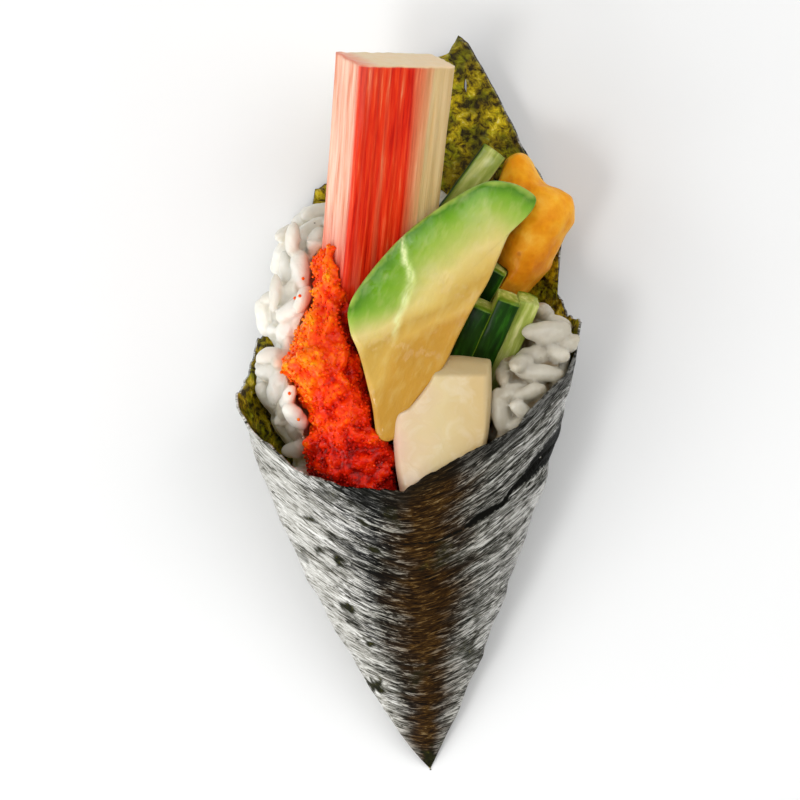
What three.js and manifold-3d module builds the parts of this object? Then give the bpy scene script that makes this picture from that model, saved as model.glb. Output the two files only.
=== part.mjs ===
// A temaki hand roll: a cone of nori filled with rice and topped with a crab stick, avocado,
// cucumber, omelette, cream cheese and fish roe. It lies on its back on a narrow flat strip, with
// the tip towards -Y, the open end towards +Y and the filling facing up.
import * as THREE from 'three';
import { mergeVertices } from 'three/addons/utils/BufferGeometryUtils.js';
import Module from 'manifold-3d';

const wasm = await Module();
wasm.setup();

// Driving dimensions, in millimetres and degrees. While the roll is modelled, its tip is at x = 0,
// y = 0 and the surface it lies on is z = 0.
const SHEET = 0.8; // thickness of the wrapped nori
const GAP = 0.3; // room between neighbouring pieces
const FLARE = 0.585; // half-width gained for each millimetre from the tip
const FLARE_LOSS = 0.002; // and lost again, so that the sides bow outwards
const TIP_ROUND = 0.8; // half-width of the blunt tip
const TIP_REACH = 4; // the distance over which it widens
const SIDE_DRIFT = 0.81; // the cone leans to -X with the root of the distance
const DRIFT_START = 1.5;
const DEPTH_RATIO = 0.68; // depth of the flattened cone against its width
const FLAT_CUT = 0.6; // how far the back is pressed flat where it rests
const FLAP_START = 100; // from here the back flap curls up
const FLAP_CURL = 6; // rise of the flap's corner
const FLAP_LENGTH = 48; // reach of the flap past FLAP_START
const HOLLOW_START = 8; // below this the tip is rolled solid
const WRINKLE = 0.35; // height of the soft wrinkles in the nori
const FILL_START = 10; // the rice begins this far from the tip
const FILL_END = 117; // and ends here on the flap

// The upper edge of the sheet in plan, from its left end over the back flap, with the corner of the
// square sheet at its top, to its right end, and back along the front lip.
const BACK_RIM = [
  [-39.4, 74.8], [-37.6, 77.8], [-35.8, 83.4], [-35.2, 87.2], [-33.4, 88.4], [-30.2, 93], [-26.4, 103],
  [-24.2, 112.6], [-23.4, 117.4], [-19.6, 119], [-10.2, 130.8], [-0.2, 143.2], [3.8, 144.6],
  [5.6, 148.2], [7.6, 146.8], [12.2, 138.8], [18.2, 126.8], [22, 120.4], [26.2, 106.6], [25.9, 101],
  [25.4, 96.4], [27.6, 91.6], [30.2, 90.2],
];
const FRONT_LIP = [
  [29.4, 84.4], [28, 80.8], [25.6, 78.2], [20, 72.8], [17.8, 69.4], [9.8, 65.2], [0, 60.2],
  [-5.4, 56.6], [-17.2, 57.4], [-26.8, 60.6], [-32.2, 65.6], [-36.5, 68.6],
];
const SHELL_ROWS = 14;
const SHELL_STEP = 8; // widest step round the cone, in degrees

// Crab stick: a pressed block of fibres, rolled so that its left side shows as well.
const CRAB = { width: 21.4, depth: 12, length: 78, tilt: 14, lean: 5.2, roll: 27.5, round: 1.6 };
const CRAB_TOP = [-7.1, 142.9, 30.6]; // middle of the upper end
const CRAB_END_SLOPE = -0.03; // the end is cut on a slant
const CRAB_PLAN = [[-20.5, 70], [0, 70], [6, 142], [-19, 144]]; // the ground that it covers
const CRAB_FIBRES = 9; // fibre bundles across the front
const CRAB_RIB = 0.35; // depth of the grooves between them
const CRAB_WAIST = 0.06; // it narrows by this share at mid-length
const CRAB_THIN = 0.08; // and is thinner by this share at its lower end

// Cucumber sticks: middle of the upper end, section, length and pose. The skin is on the first
// face, and turn rolls it about the stick's length.
const SKIN_BOW = 0.7; // how far the skin side bulges
const CUCUMBERS = [
  { end: [10.3, 94, 26.6], width: 4.6, depth: 5, length: 30, tilt: 25, lean: 24, turn: 4 },
  { end: [15.6, 95.4, 27.4], width: 4.8, depth: 5.2, length: 31, tilt: 25, lean: 24, turn: 10 },
  { end: [19.5, 95.2, 25.6], width: 4.2, depth: 4.8, length: 29, tilt: 25, lean: 24, turn: 196 },
  { end: [13.4, 101.4, 21.8], width: 4.4, depth: 4.6, length: 32, tilt: 22, lean: 30, turn: 0 },
  { end: [12.8, 124.8, 16.5], width: 5, depth: 5.2, length: 25, tilt: 15, lean: 36, turn: -60 },
];

// Plan outlines of the soft pieces, counter-clockwise seen from above.
const AVOCADO_OUTLINE = [
  [20.2, 115.8], [15.8, 118], [9.8, 117.8], [-0.2, 111.8], [-8.2, 104.8], [-15.8, 94.8], [-16.2, 88.8],
  [-14.2, 83.5], [-11.8, 74], [-10.6, 67.6], [-7.2, 67.2], [-3.6, 73.8], [2.2, 81], [5.2, 87],
  [8.4, 93.2], [11.4, 98.4], [13.4, 103], [15.8, 108.2], [19.2, 111.4], [20.8, 114],
];
const AVOCADO_RIDGE = [[-5.6, 107.6], [-3.4, 98.2], [-6.2, 90.8], [-7.8, 82.8]];
const AVOCADO_STEP = 1.5; // the right half of the cut face stands this much higher
const RIDGE_START = [82, 97]; // the step grows between these distances from the roll's tip
const RIDGE_END = [107, 113]; // and fades again between these
const RIDGE_SLOPE = [-4, 0.5]; // it rises between these distances from the ridge
const AVOCADO_TOP = 34.8; // height of its upper side over the tip of the roll
const AVOCADO_SLOPE = -0.1; // rise of that side towards +X
const AVOCADO_ARCH = 0.0028; // and its fall with the square of the distance from ARCH_TOP
const ARCH_TOP = 96;
const AVOCADO_THICK = 8.5;
const CREAM_OUTLINE = [
  [11.6, 83], [2.4, 83.4], [-0.6, 78.4], [-4.4, 73.6], [-7.4, 71.4], [-7.4, 65], [-6.6, 58.5], [-5, 54],
  [-1, 54.6], [4, 57.2], [9, 60.8], [11.2, 67], [12, 75],
];
const CREAM_TOP = 34.6;
const CREAM_ARCH = 0.008; // its upper face falls with the square of the distance from CREAM_MIDDLE
const CREAM_MIDDLE = 1;
const CREAM_SAG = 0.1; // and by this slope below CREAM_LOW
const CREAM_LOW = 62;
const CREAM_STRIP = 79.6; // a narrow strip past here slopes away to the back
const STRIP_SLOPE = 0.9;
const CREAM_BOTTOM = 18;

// Half the section of a soft piece with two flat cut faces, from the middle of a face to its side:
// how far out and how far up it reaches, as shares.
const CUT_SECTION = [[0, 1], [0.5, 1], [0.93, 1], [0.98, 0.93], [1, 0.78], [1, 0]];

// Lumpy pieces, as sections across their length: the distance from the roll's tip, the left and the
// right edge. Their upper sides are lists of height by that distance.
const POLE_BULGE = 0.6; // rounding of a lump's two ends
const OMELETTE = {
  sections: [
    [94.2, 14, 16.4], [95.2, 12.2, 18.2], [96.6, 11.2, 19.6], [98.4, 11, 21.4], [101, 11.8, 23.6],
    [104.4, 12.6, 25.2], [107.8, 13.6, 27], [110.6, 14.2, 28.6], [113.2, 14.2, 28.9], [115.4, 14, 28.2],
    [117, 13.8, 26], [117.8, 13.8, 23.4], [119.4, 14.2, 22], [121.4, 14.6, 20.9], [122.8, 15.3, 20.1],
    [123.7, 16.4, 19.2],
  ],
  top: [[94, 19], [98, 22.4], [106, 24.2], [113, 24], [118, 22.6], [124, 19]],
  bottom: 7,
  columns: 16,
  bump: 0.35,
};
const ROE = {
  sections: [
    [52.6, -14.6, -6.8], [54.4, -18.6, -4.4], [57, -21.6, -3.6], [60, -24.2, -3.8], [63.4, -25.4, -4.6],
    [66.4, -25.2, -5.6], [69.4, -23.8, -7], [72.4, -25.2, -8.8], [75.2, -26.6, -10.6], [78.2, -27.4, -12],
    [80.6, -29, -13], [82.6, -29.4, -13.4], [85, -27.8, -14.2], [88.2, -26.2, -15], [91.6, -24.8, -15.2],
    [94.8, -22.8, -15], [97, -23.6, -14.6], [100, -24, -14.2], [103.4, -23.6, -14.6], [105.4, -19.6, -17],
  ],
  top: [[52, 27], [57, 31.4], [63, 32.8], [72, 34.2], [82, 33.8], [90, 31.6], [98, 29.4], [105, 26.4]],
  bottom: 13,
  columns: 20,
  bump: 0.7,
};

// Rice: the plan outline of the heap's left and right side by distance from the tip.
const HEAP_LEFT = [
  [50, -24], [66, -28], [72, -32], [79, -34], [83, -34], [84.4, -30], [87, -30], [88.4, -34],
  [94, -34.5], [97.4, -32], [103, -30.5], [109, -28], [113, -23.5], [119, -17],
];
const HEAP_RIGHT = [[50, 30], [88, 30.5], [91.5, 28], [94, 15], [106, 12], [119, 6]];
const HEAP_TOP = 33.5; // height of the rice behind the front lip
const HEAP_FALL = 0.34; // and its fall towards the back
const HEAP_SINK = 7; // it sinks further just behind the lip
const SINK_LENGTH = 14;
const HEAP_BACK = [108, 118]; // its back slopes down between these distances
const HEAP_LUMPS = 0.7; // height of its soft lumps
const HEAP_SHOULDER = 10; // the power that squares its sides
// On the right it is heaped up to the rim: where that starts across, and its height, by distance.
const RIGHT_HEAP = [[62, 9], [76, 10.5], [82, 12], [85, 17], [91, 19.5]];
const RIGHT_TOP = [[60, 31], [72, 30.5], [80, 29], [86, 28], [92, 26]];
const RIGHT_BLEND = 4;
const LIP = 55.5; // the heap is open from here on
const SLACK = 0.3; // further room between the bare heap and the nori

const GRAIN = { length: 7.8, width: 3.4, height: 2.9 };
const GRAIN_SPACING = 4.5;
const GRAIN_RISE = 0.3; // a grain's middle lies this share of its height above the heap
const GRAIN_TRIES = 5000;
const GRAIN_REACH = { left: -37, right: 31, front: 57, back: 118 };
const GRAIN_SEED = 20241;

const FINISH = {
  nori: { color: 0x23261c, roughness: 0.35, metalness: 0 },
  rice: { color: 0xe9e6dc, roughness: 0.4, metalness: 0 },
  roe: { color: 0xf04a10, roughness: 0.2, metalness: 0 },
  crab: { color: 0xdc3418, roughness: 0.45, metalness: 0 },
  avocado: { color: 0xa9bd5c, roughness: 0.4, metalness: 0 },
  cucumber: { color: 0x35602a, roughness: 0.35, metalness: 0 },
  omelette: { color: 0xf09c31, roughness: 0.45, metalness: 0 },
  cream: { color: 0xe8cf98, roughness: 0.4, metalness: 0 },
};

// ---- Small helpers ----

const radians = THREE.MathUtils.degToRad;
const smooth = THREE.MathUtils.smoothstep;
const UP = new THREE.Vector3(0, 0, 1);

/** Straight interpolation in a list of [key, value] pairs, level past both ends. */
function lookUp(pairs, key) {
  if (key <= pairs[0][0]) return pairs[0][1];
  for (let i = 1; i < pairs.length; i += 1) {
    const [end, value] = pairs[i];
    const [start, before] = pairs[i - 1];
    if (key <= end) return before + ((value - before) * (key - start)) / (end - start);
  }
  return pairs[pairs.length - 1][1];
}

/** Numbers from 0 to 1 that are the same on every run. */
function seededRandom(seed) {
  let state = seed;
  return () => {
    state = (state + 0x6d2b79f5) | 0;
    let t = Math.imul(state ^ (state >>> 15), 1 | state);
    t = (t + Math.imul(t ^ (t >>> 7), 61 | t)) ^ t;
    return ((t ^ (t >>> 14)) >>> 0) / 4294967296;
  };
}

/** Moves every vertex of a geometry made of rows of equal length to place(row, column). */
function rearrange(geometry, rowLength, place) {
  const position = geometry.getAttribute('position');
  for (let i = 0; i < position.count; i += 1) {
    const point = place(Math.floor(i / rowLength), i % rowLength);
    position.setXYZ(i, point.x, point.y, point.z);
  }
  return geometry;
}

/** A closed geometry as a solid that can be joined and cut. */
function toSolid(geometry) {
  geometry.deleteAttribute('normal');
  geometry.deleteAttribute('uv');
  const merged = mergeVertices(geometry, 1e-4);
  const position = merged.getAttribute('position');
  const corners = merged.getIndex().array;
  const triangles = [];
  const [a, b, c] = [new THREE.Vector3(), new THREE.Vector3(), new THREE.Vector3()];
  let volume = 0;
  for (let i = 0; i < corners.length; i += 3) {
    const [p, q, r] = [corners[i], corners[i + 1], corners[i + 2]];
    if (p === q || q === r || r === p) continue;
    triangles.push([p, q, r]);
    a.fromBufferAttribute(position, p);
    b.fromBufferAttribute(position, q);
    c.fromBufferAttribute(position, r);
    volume += a.dot(b.cross(c));
  }
  const facing = volume < 0 ? triangles.map(([p, q, r]) => [p, r, q]) : triangles;
  return new wasm.Manifold(new wasm.Mesh({
    numProp: 3,
    vertProperties: Float32Array.from(position.array),
    triVerts: Uint32Array.from(facing.flat()),
  }));
}

/** The largest body of a solid that cutting has left in several. */
function largestBody(solid) {
  const bodies = solid.decompose();
  return bodies.reduce((best, body) => (body.volume() > best.volume() ? body : best));
}

/** One body, cut clear of all the others given. */
function cutClear(solid, others) {
  const cut = others.reduce((rest, other) => rest.subtract(other), solid);
  return largestBody(cut);
}

/** A solid as a named mesh with a finish. */
function toMesh(name, solid, finish) {
  const { vertProperties, triVerts } = solid.getMesh();
  const geometry = new THREE.BufferGeometry();
  geometry.setAttribute('position', new THREE.BufferAttribute(Float32Array.from(vertProperties), 3));
  geometry.setIndex(new THREE.BufferAttribute(Uint32Array.from(triVerts), 1));
  geometry.computeVertexNormals();
  const mesh = new THREE.Mesh(geometry, new THREE.MeshStandardMaterial(finish));
  mesh.name = name;
  return mesh;
}

// ---- The nori cone ----

function halfWidth(y) {
  return y * (FLARE - FLARE_LOSS * y) + TIP_ROUND * (1 - Math.exp(-y / TIP_REACH));
}

function centreX(y) {
  return SIDE_DRIFT * (Math.sqrt(DRIFT_START) - Math.sqrt(y + DRIFT_START));
}

/** Soft wrinkles that run round the cone and die out where it rests and at the tip. */
function wrinkle(angle, y) {
  const height = DEPTH_RATIO * halfWidth(y) * (1 + Math.sin(angle));
  const free = smooth(height, 1, 9);
  const rings = Math.sin(0.55 * y + 1.6 * Math.sin(angle + 0.4) + 0.8 * Math.cos(3 * angle));
  const folds = Math.sin(5 * angle + 0.11 * y);
  return WRINKLE * free * (0.7 * rings + 0.6 * folds);
}

function flapCurl(y) {
  const reach = Math.max(0, y - FLAP_START) / FLAP_LENGTH;
  return FLAP_CURL * reach * reach;
}

/** The middle of the cone at a distance from its tip. */
function axisPoint(y) {
  return new THREE.Vector3(centreX(y), y, DEPTH_RATIO * halfWidth(y));
}

/** A point of the wall, at a depth in from its outer face, at an angle round the cone. */
function wallPoint(angle, y, depth) {
  const across = halfWidth(y);
  const up = DEPTH_RATIO * across;
  const offset = wrinkle(angle, y) - depth;
  const pressed = FLAT_CUT * smooth(y, 0, 20);
  const z = up + (up + offset) * Math.sin(angle) - pressed;
  return new THREE.Vector3(
    centreX(y) + (across + offset) * Math.cos(angle),
    y,
    Math.max(z, depth) + flapCurl(y),
  );
}

/** A point of the rim as its angle round the cone and its distance from the tip. */
function rimPoint([x, y], side) {
  const cosine = THREE.MathUtils.clamp((x - centreX(y)) / halfWidth(y), -1, 1);
  return [side * Math.acos(cosine), y];
}

const RIM = [
  ...BACK_RIM.map((point) => rimPoint(point, -1)),
  ...FRONT_LIP.map((point) => rimPoint(point, 1)),
];
const CLOSED_RIM = [...RIM, [Math.PI, RIM[0][1]]];

/** Angles of the shell's columns: every point of the rim, and even steps between them. */
function rimColumns() {
  const columns = [];
  RIM.forEach(([angle, height], i) => {
    const [nextAngle, nextHeight] = CLOSED_RIM[i + 1];
    const steps = Math.ceil((nextAngle - angle) / radians(SHELL_STEP));
    for (let step = 0; step < steps; step += 1) {
      const share = step / steps;
      columns.push({
        angle: THREE.MathUtils.lerp(angle, nextAngle, share),
        height: THREE.MathUtils.lerp(height, nextHeight, share),
      });
    }
  });
  return columns;
}

/** The sheet wrapped into a cone, grown on all its faces by grow. */
function noriSolid(grow = 0) {
  const columns = rimColumns();
  const innerTip = axisPoint(HOLLOW_START);
  const profile = [];
  for (let row = 0; row <= SHELL_ROWS; row += 1) profile.push(new THREE.Vector2(row, row));
  for (let row = SHELL_ROWS; row >= 0; row -= 1) profile.push(new THREE.Vector2(row, row + 1));
  const geometry = new THREE.LatheGeometry(profile, columns.length);
  rearrange(geometry, profile.length, (index, row) => {
    const { angle, height } = columns[index % columns.length];
    const top = height + 2 * grow;
    if (row <= SHELL_ROWS) return wallPoint(angle, (top * row) / SHELL_ROWS, row === 0 ? 0 : -grow);
    const share = (profile.length - 1 - row) / SHELL_ROWS;
    if (share === 0) return innerTip;
    return wallPoint(angle, THREE.MathUtils.lerp(innerTip.y, top, share), SHEET + grow);
  });
  return toSolid(geometry);
}

// ---- The crab stick and the cucumber ----

/** Puts a piece whose length runs along Y in its place: rolled, tilted up and leaned sideways. */
function pose(geometry, [x, y, z], { tilt, lean, roll }) {
  geometry.rotateY(radians(roll));
  geometry.rotateX(radians(tilt));
  geometry.rotateZ(radians(-lean));
  return geometry.translate(x, y, z);
}

/** A rounded oblong outline whose upper long side has the given number of ribs. */
function ribbedSection(width, depth, round, ribs) {
  const shape = new THREE.Shape();
  const [x, z] = [width / 2, depth / 2];
  const across = width - 2 * round;
  const steps = ribs * 2;
  shape.moveTo(-x + round, -z);
  shape.lineTo(x - round, -z);
  shape.quadraticCurveTo(x, -z, x, -z + round);
  shape.lineTo(x, 0);
  shape.lineTo(x, z - round);
  shape.quadraticCurveTo(x, z, x - round, z);
  for (let step = 1; step < steps; step += 1) {
    const rib = step % 2 === 0 ? -CRAB_RIB : 0;
    shape.lineTo(x - round - (across * step) / steps, z + rib);
  }
  shape.lineTo(-x + round, z);
  shape.quadraticCurveTo(-x, z, -x, z - round);
  shape.lineTo(-x + CRAB_RIB, 0);
  shape.lineTo(-x, -z + round);
  shape.quadraticCurveTo(-x, -z, -x + round, -z);
  return shape;
}

function crabSolid(grow = 0) {
  const { width, depth, length, round } = CRAB;
  const ribs = grow > 0 ? 1 : CRAB_FIBRES;
  const section = ribbedSection(width + 2 * grow, depth + 2 * grow, round, ribs);
  const options = { depth: length + grow, steps: 5, bevelEnabled: false, curveSegments: 3 };
  const geometry = new THREE.ExtrudeGeometry(section, options);
  geometry.rotateX(-Math.PI / 2); // the length runs along Y, the ribbed face towards +Z
  geometry.scale(1, 1, -1);
  geometry.translate(0, -length, 0);
  const position = geometry.getAttribute('position');
  for (let i = 0; i < position.count; i += 1) {
    const [x, y, z] = [position.getX(i), position.getY(i), position.getZ(i)];
    const along = (y + length) / length;
    const waist = 1 - CRAB_WAIST * Math.sin(Math.PI * along);
    const thin = 1 - CRAB_THIN * (1 - along);
    position.setXYZ(i, x * waist, y + CRAB_END_SLOPE * x * along, z * thin);
  }
  return toSolid(pose(geometry, CRAB_TOP, CRAB));
}

/** A stick of cucumber: three cut sides and one bowed side with the skin. */
function cucumberSolid({ end, width, depth, length, tilt, lean, turn }, grow = 0) {
  const [x, z] = [width / 2 + grow, depth / 2 + grow];
  const section = new THREE.Shape();
  section.moveTo(-x, -z);
  section.lineTo(x, -z);
  section.lineTo(x, z - SKIN_BOW);
  section.quadraticCurveTo(0, z + SKIN_BOW, -x, z - SKIN_BOW);
  const options = { depth: length + 2 * grow, steps: 1, bevelEnabled: false, curveSegments: 4 };
  const geometry = new THREE.ExtrudeGeometry(section, options);
  geometry.rotateX(-Math.PI / 2);
  geometry.scale(1, 1, -1);
  geometry.translate(0, -length - grow, 0);
  return toSolid(pose(geometry, end, { tilt, lean, roll: turn }));
}

// ---- The soft pieces ----

/** A cushion over a plan outline: the rings of a ball spread out to it and up to its two flat faces. */
function cushion({ outline, top, bottom, columns }, grow = 0) {
  const corners = outline.map(([x, y]) => new THREE.Vector3(x, y, 0));
  const curve = new THREE.CatmullRomCurve3(corners, true, 'centripetal');
  const centre = corners.reduce((sum, corner) => sum.add(corner), new THREE.Vector3());
  centre.divideScalar(corners.length);
  const edge = curve.getSpacedPoints(columns);
  const rows = 2 * (CUT_SECTION.length - 1);
  const geometry = new THREE.SphereGeometry(1, columns, rows);
  rearrange(geometry, columns + 1, (row, column) => {
    const [spread, rise] = CUT_SECTION[Math.min(row, rows - row)];
    const side = row < rows / 2 ? 1 : -1;
    const rim = edge[column % columns].clone().sub(centre);
    rim.setLength(rim.length() + grow);
    const point = centre.clone().addScaledVector(rim, spread);
    const [high, low] = [top(point.x, point.y) + grow, bottom(point.x, point.y) - grow];
    point.z = (high + low) / 2 + (side * rise * (high - low)) / 2;
    return point;
  });
  return toSolid(geometry);
}

/** How far the avocado's cut face is stepped down left of its ridge. */
function avocadoStep(x, y) {
  const ridge = lookUp(AVOCADO_RIDGE.map((point) => [point[1], point[0]]).reverse(), y);
  const fade = smooth(y, ...RIDGE_START) * (1 - smooth(y, ...RIDGE_END));
  return AVOCADO_STEP * fade * (1 - smooth(x - ridge, ...RIDGE_SLOPE));
}

/** The slice's upper side without the step: a long arch that slopes to +X. */
function avocadoArch(x, y) {
  return AVOCADO_TOP + AVOCADO_SLOPE * x - AVOCADO_ARCH * (y - ARCH_TOP) ** 2;
}

const AVOCADO = {
  outline: AVOCADO_OUTLINE,
  top: (x, y) => avocadoArch(x, y) - avocadoStep(x, y),
  bottom: (x, y) => avocadoArch(x, y) - AVOCADO_THICK,
  columns: 42,
};

/** The piece of cream cheese's upper side: a nearly flat cut face with the strip at its back. */
function creamTop(x, y) {
  const face = CREAM_TOP - CREAM_ARCH * (x - CREAM_MIDDLE) ** 2 - CREAM_SAG * Math.max(0, CREAM_LOW - y);
  return face - STRIP_SLOPE * Math.max(0, y - CREAM_STRIP);
}

const CREAM = {
  outline: CREAM_OUTLINE,
  top: creamTop,
  bottom: () => CREAM_BOTTOM,
  columns: 30,
};

/** A lump with rounded sections across its length and soft bumps all over, grown by grow. */
function lumpSolid({ sections, top, bottom, columns, bump }, grow = 0) {
  const [last, span] = [sections.length - 1, sections.length + 1];
  const profile = [];
  for (let row = 0; row <= span; row += 1) profile.push(new THREE.Vector2(row, row));
  const geometry = new THREE.LatheGeometry(profile, columns);
  rearrange(geometry, profile.length, (index, row) => {
    const [along, left, right] = sections[THREE.MathUtils.clamp(row - 1, 0, last)];
    const outwards = row <= 1 ? -1 : row > last ? 1 : 0;
    const pole = row === 0 || row === span;
    const y = along + outwards * (grow + (pole ? POLE_BULGE : 0));
    const angle = (2 * Math.PI * (index % columns)) / columns;
    const lumps = Math.sin(0.9 * y + 2 * Math.cos(2 * angle)) * Math.cos(3 * angle + 0.4 * y);
    const [half, high] = [(right - left) / 2, (lookUp(top, y) - bottom) / 2];
    const [across, up] = pole ? [0, 0] : [half, high].map((length) => length + grow + bump * lumps);
    return new THREE.Vector3(
      (left + right) / 2 + across * Math.cos(angle),
      y,
      bottom + high + up * Math.sin(angle),
    );
  });
  return toSolid(geometry);
}

// ---- The rice ----

/** Height of the bare heap of rice; below zero past its sides. */
function heapTop(x, y) {
  const [left, right] = [lookUp(HEAP_LEFT, y), lookUp(HEAP_RIGHT, y)];
  const side = Math.abs((x - (left + right) / 2) / ((right - left) / 2));
  if (side >= 1) return -2;
  const back = 1 - smooth(y, ...HEAP_BACK);
  const lumps = HEAP_LUMPS * Math.sin(0.8 * x + 0.5) * Math.sin(0.7 * y);
  const sunk = HEAP_SINK * (1 - smooth(y, LIP, LIP + SINK_LENGTH));
  const level = HEAP_TOP - HEAP_FALL * (y - LIP);
  const start = lookUp(RIGHT_HEAP, y);
  const heaped = THREE.MathUtils.lerp(level, lookUp(RIGHT_TOP, y), smooth(x, start, start + RIGHT_BLEND));
  return (heaped - sunk) * Math.sqrt(1 - side ** HEAP_SHOULDER) * back + lumps;
}

/** All that the wall would hold if it went right round, cut down to the heap's own top. */
function riceCore() {
  const columns = 24;
  const rows = 12;
  const depth = SHEET + GAP + SLACK;
  const profile = [];
  for (let row = 0; row <= rows + 2; row += 1) profile.push(new THREE.Vector2(row, row));
  const filling = new THREE.LatheGeometry(profile, columns);
  rearrange(filling, profile.length, (index, row) => {
    const angle = -Math.PI + (2 * Math.PI * (index % columns)) / columns;
    const share = THREE.MathUtils.clamp((row - 1) / rows, 0, 1);
    const y = THREE.MathUtils.lerp(FILL_START, FILL_END, share);
    if (row > 0 && row < rows + 2) return wallPoint(angle, y, depth);
    return axisPoint(y);
  });
  const [width, length, height] = [110, 70, 60];
  const air = new THREE.BoxGeometry(width, length, height, 24, 16, 1);
  air.translate(0, LIP + length / 2, height / 2);
  const position = air.getAttribute('position');
  for (let i = 0; i < position.count; i += 1) {
    const [x, y, z] = [position.getX(i), position.getY(i), position.getZ(i)];
    if (z < height / 2) position.setZ(i, heapTop(x, y));
  }
  return largestBody(toSolid(filling).subtract(toSolid(air)));
}

/** True where a plan outline covers a point, so that no grain would show. */
function covers(outline, x, y) {
  let inside = false;
  outline.forEach(([x1, y1], i) => {
    const [x2, y2] = outline[(i + 1) % outline.length];
    if (y1 > y === y2 > y) return;
    if (x < x1 + ((x2 - x1) * (y - y1)) / (y2 - y1)) inside = !inside;
  });
  return inside;
}

/** True inside the cone that the wall follows, and past its rim. */
function clearOfWall(x, y, z) {
  const [across, up] = [halfWidth(y) - SHEET - GAP, DEPTH_RATIO * halfWidth(y)];
  const [u, v] = [(x - centreX(y)) / across, (z - up) / (up - SHEET - GAP)];
  const rim = lookUp(CLOSED_RIM, Math.atan2(v, u));
  return y > rim + 1 || Math.hypot(u, v) < 1 - 1.4 / across;
}

/** Single grains that lie on the heap where it shows, evenly spread and turned every way. */
function riceGrains(hidden) {
  const random = seededRandom(GRAIN_SEED);
  const placed = [];
  const grains = [];
  for (let i = 0; i < GRAIN_TRIES; i += 1) {
    const x = THREE.MathUtils.lerp(GRAIN_REACH.left, GRAIN_REACH.right, random());
    const y = THREE.MathUtils.lerp(GRAIN_REACH.front, GRAIN_REACH.back, random());
    const turn = Math.PI * random();
    const slope = 0.5 * (random() - 0.5);
    const size = 0.88 + 0.24 * random();
    const base = heapTop(x, y);
    const z = base + GRAIN_RISE * GRAIN.height;
    const slopes = [heapTop(x + 1, y), heapTop(x, y + 1)].map((next) => Math.min(2, base - next));
    const facing = new THREE.Vector3(...slopes, 1).normalize();
    if (z < 6 || !clearOfWall(x, y, z) || hidden(x, y)) continue;
    if (placed.some(([px, py]) => Math.hypot(px - x, py - y) < GRAIN_SPACING)) continue;
    placed.push([x, y]);
    const grain = new THREE.SphereGeometry(0.5, 5, 4);
    grain.scale(GRAIN.width * size, GRAIN.length * size, GRAIN.height * size);
    grain.rotateX(slope);
    grain.rotateZ(turn);
    grain.applyQuaternion(new THREE.Quaternion().setFromUnitVectors(UP, facing));
    grain.translate(x, y, z);
    grains.push(toSolid(grain));
  }
  return grains;
}

// ---- Putting the roll together ----

const roll = new THREE.Group();
const grownNori = noriSolid(GAP);
const crab = cutClear(crabSolid(), [grownNori]);
const grownCrab = crabSolid(GAP);
const avocado = cutClear(cushion(AVOCADO), [grownNori, grownCrab]);
const grownAvocado = cushion(AVOCADO, GAP);
const cream = cutClear(cushion(CREAM), [grownNori, grownCrab, grownAvocado]);
const grownCream = cushion(CREAM, GAP);
const blockers = [grownNori, grownCrab, grownAvocado, grownCream];

roll.add(toMesh('nori_wrap', noriSolid(), FINISH.nori));
roll.add(toMesh('crab_stick', crab, FINISH.crab));
roll.add(toMesh('avocado_slice', avocado, FINISH.avocado));
roll.add(toMesh('cream_cheese', cream, FINISH.cream));

CUCUMBERS.forEach((stick, i) => {
  const solid = cutClear(cucumberSolid(stick), blockers);
  roll.add(toMesh(`cucumber_stick_${i + 1}`, solid, FINISH.cucumber));
  blockers.push(cucumberSolid(stick, GAP));
});

const omelette = cutClear(lumpSolid(OMELETTE), blockers);
roll.add(toMesh('omelette_piece', omelette, FINISH.omelette));
blockers.push(lumpSolid(OMELETTE, GAP));

const roe = cutClear(lumpSolid(ROE), blockers);
roll.add(toMesh('roe', roe, FINISH.roe));
blockers.push(lumpSolid(ROE, GAP));

const underLump = (x, y) => [OMELETTE, ROE].some(({ sections }) => {
  const [left, right] = [1, 2].map((edge) => lookUp(sections.map((row) => [row[0], row[edge]]), y));
  return y > sections[0][0] && y < sections[sections.length - 1][0] && x > left + 1 && x < right - 1;
});
const underTopping = (x, y) => (
  underLump(x, y) || [AVOCADO_OUTLINE, CREAM_OUTLINE, CRAB_PLAN].some((outline) => covers(outline, x, y))
);
const heaped = wasm.Manifold.union([riceCore(), ...riceGrains(underTopping)]);
roll.add(toMesh('rice', cutClear(heaped, blockers), FINISH.rice));

// The origin is the middle of the underside of the whole roll.
const box = new THREE.Box3().setFromObject(roll);
const middle = box.getCenter(new THREE.Vector3());
roll.children.forEach((mesh) => mesh.geometry.translate(-middle.x, -middle.y, -box.min.z));

export default roll;
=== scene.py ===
# A temaki hand roll: a cone of roasted nori with rice, a crab stick, avocado, cucumber, omelette,
# cream cheese and fish roe, lying on its back on a pale table.
import math
import random

import bmesh
import bpy
from mathutils import Matrix, Vector, noise
from mathutils.bvhtree import BVHTree


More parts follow.
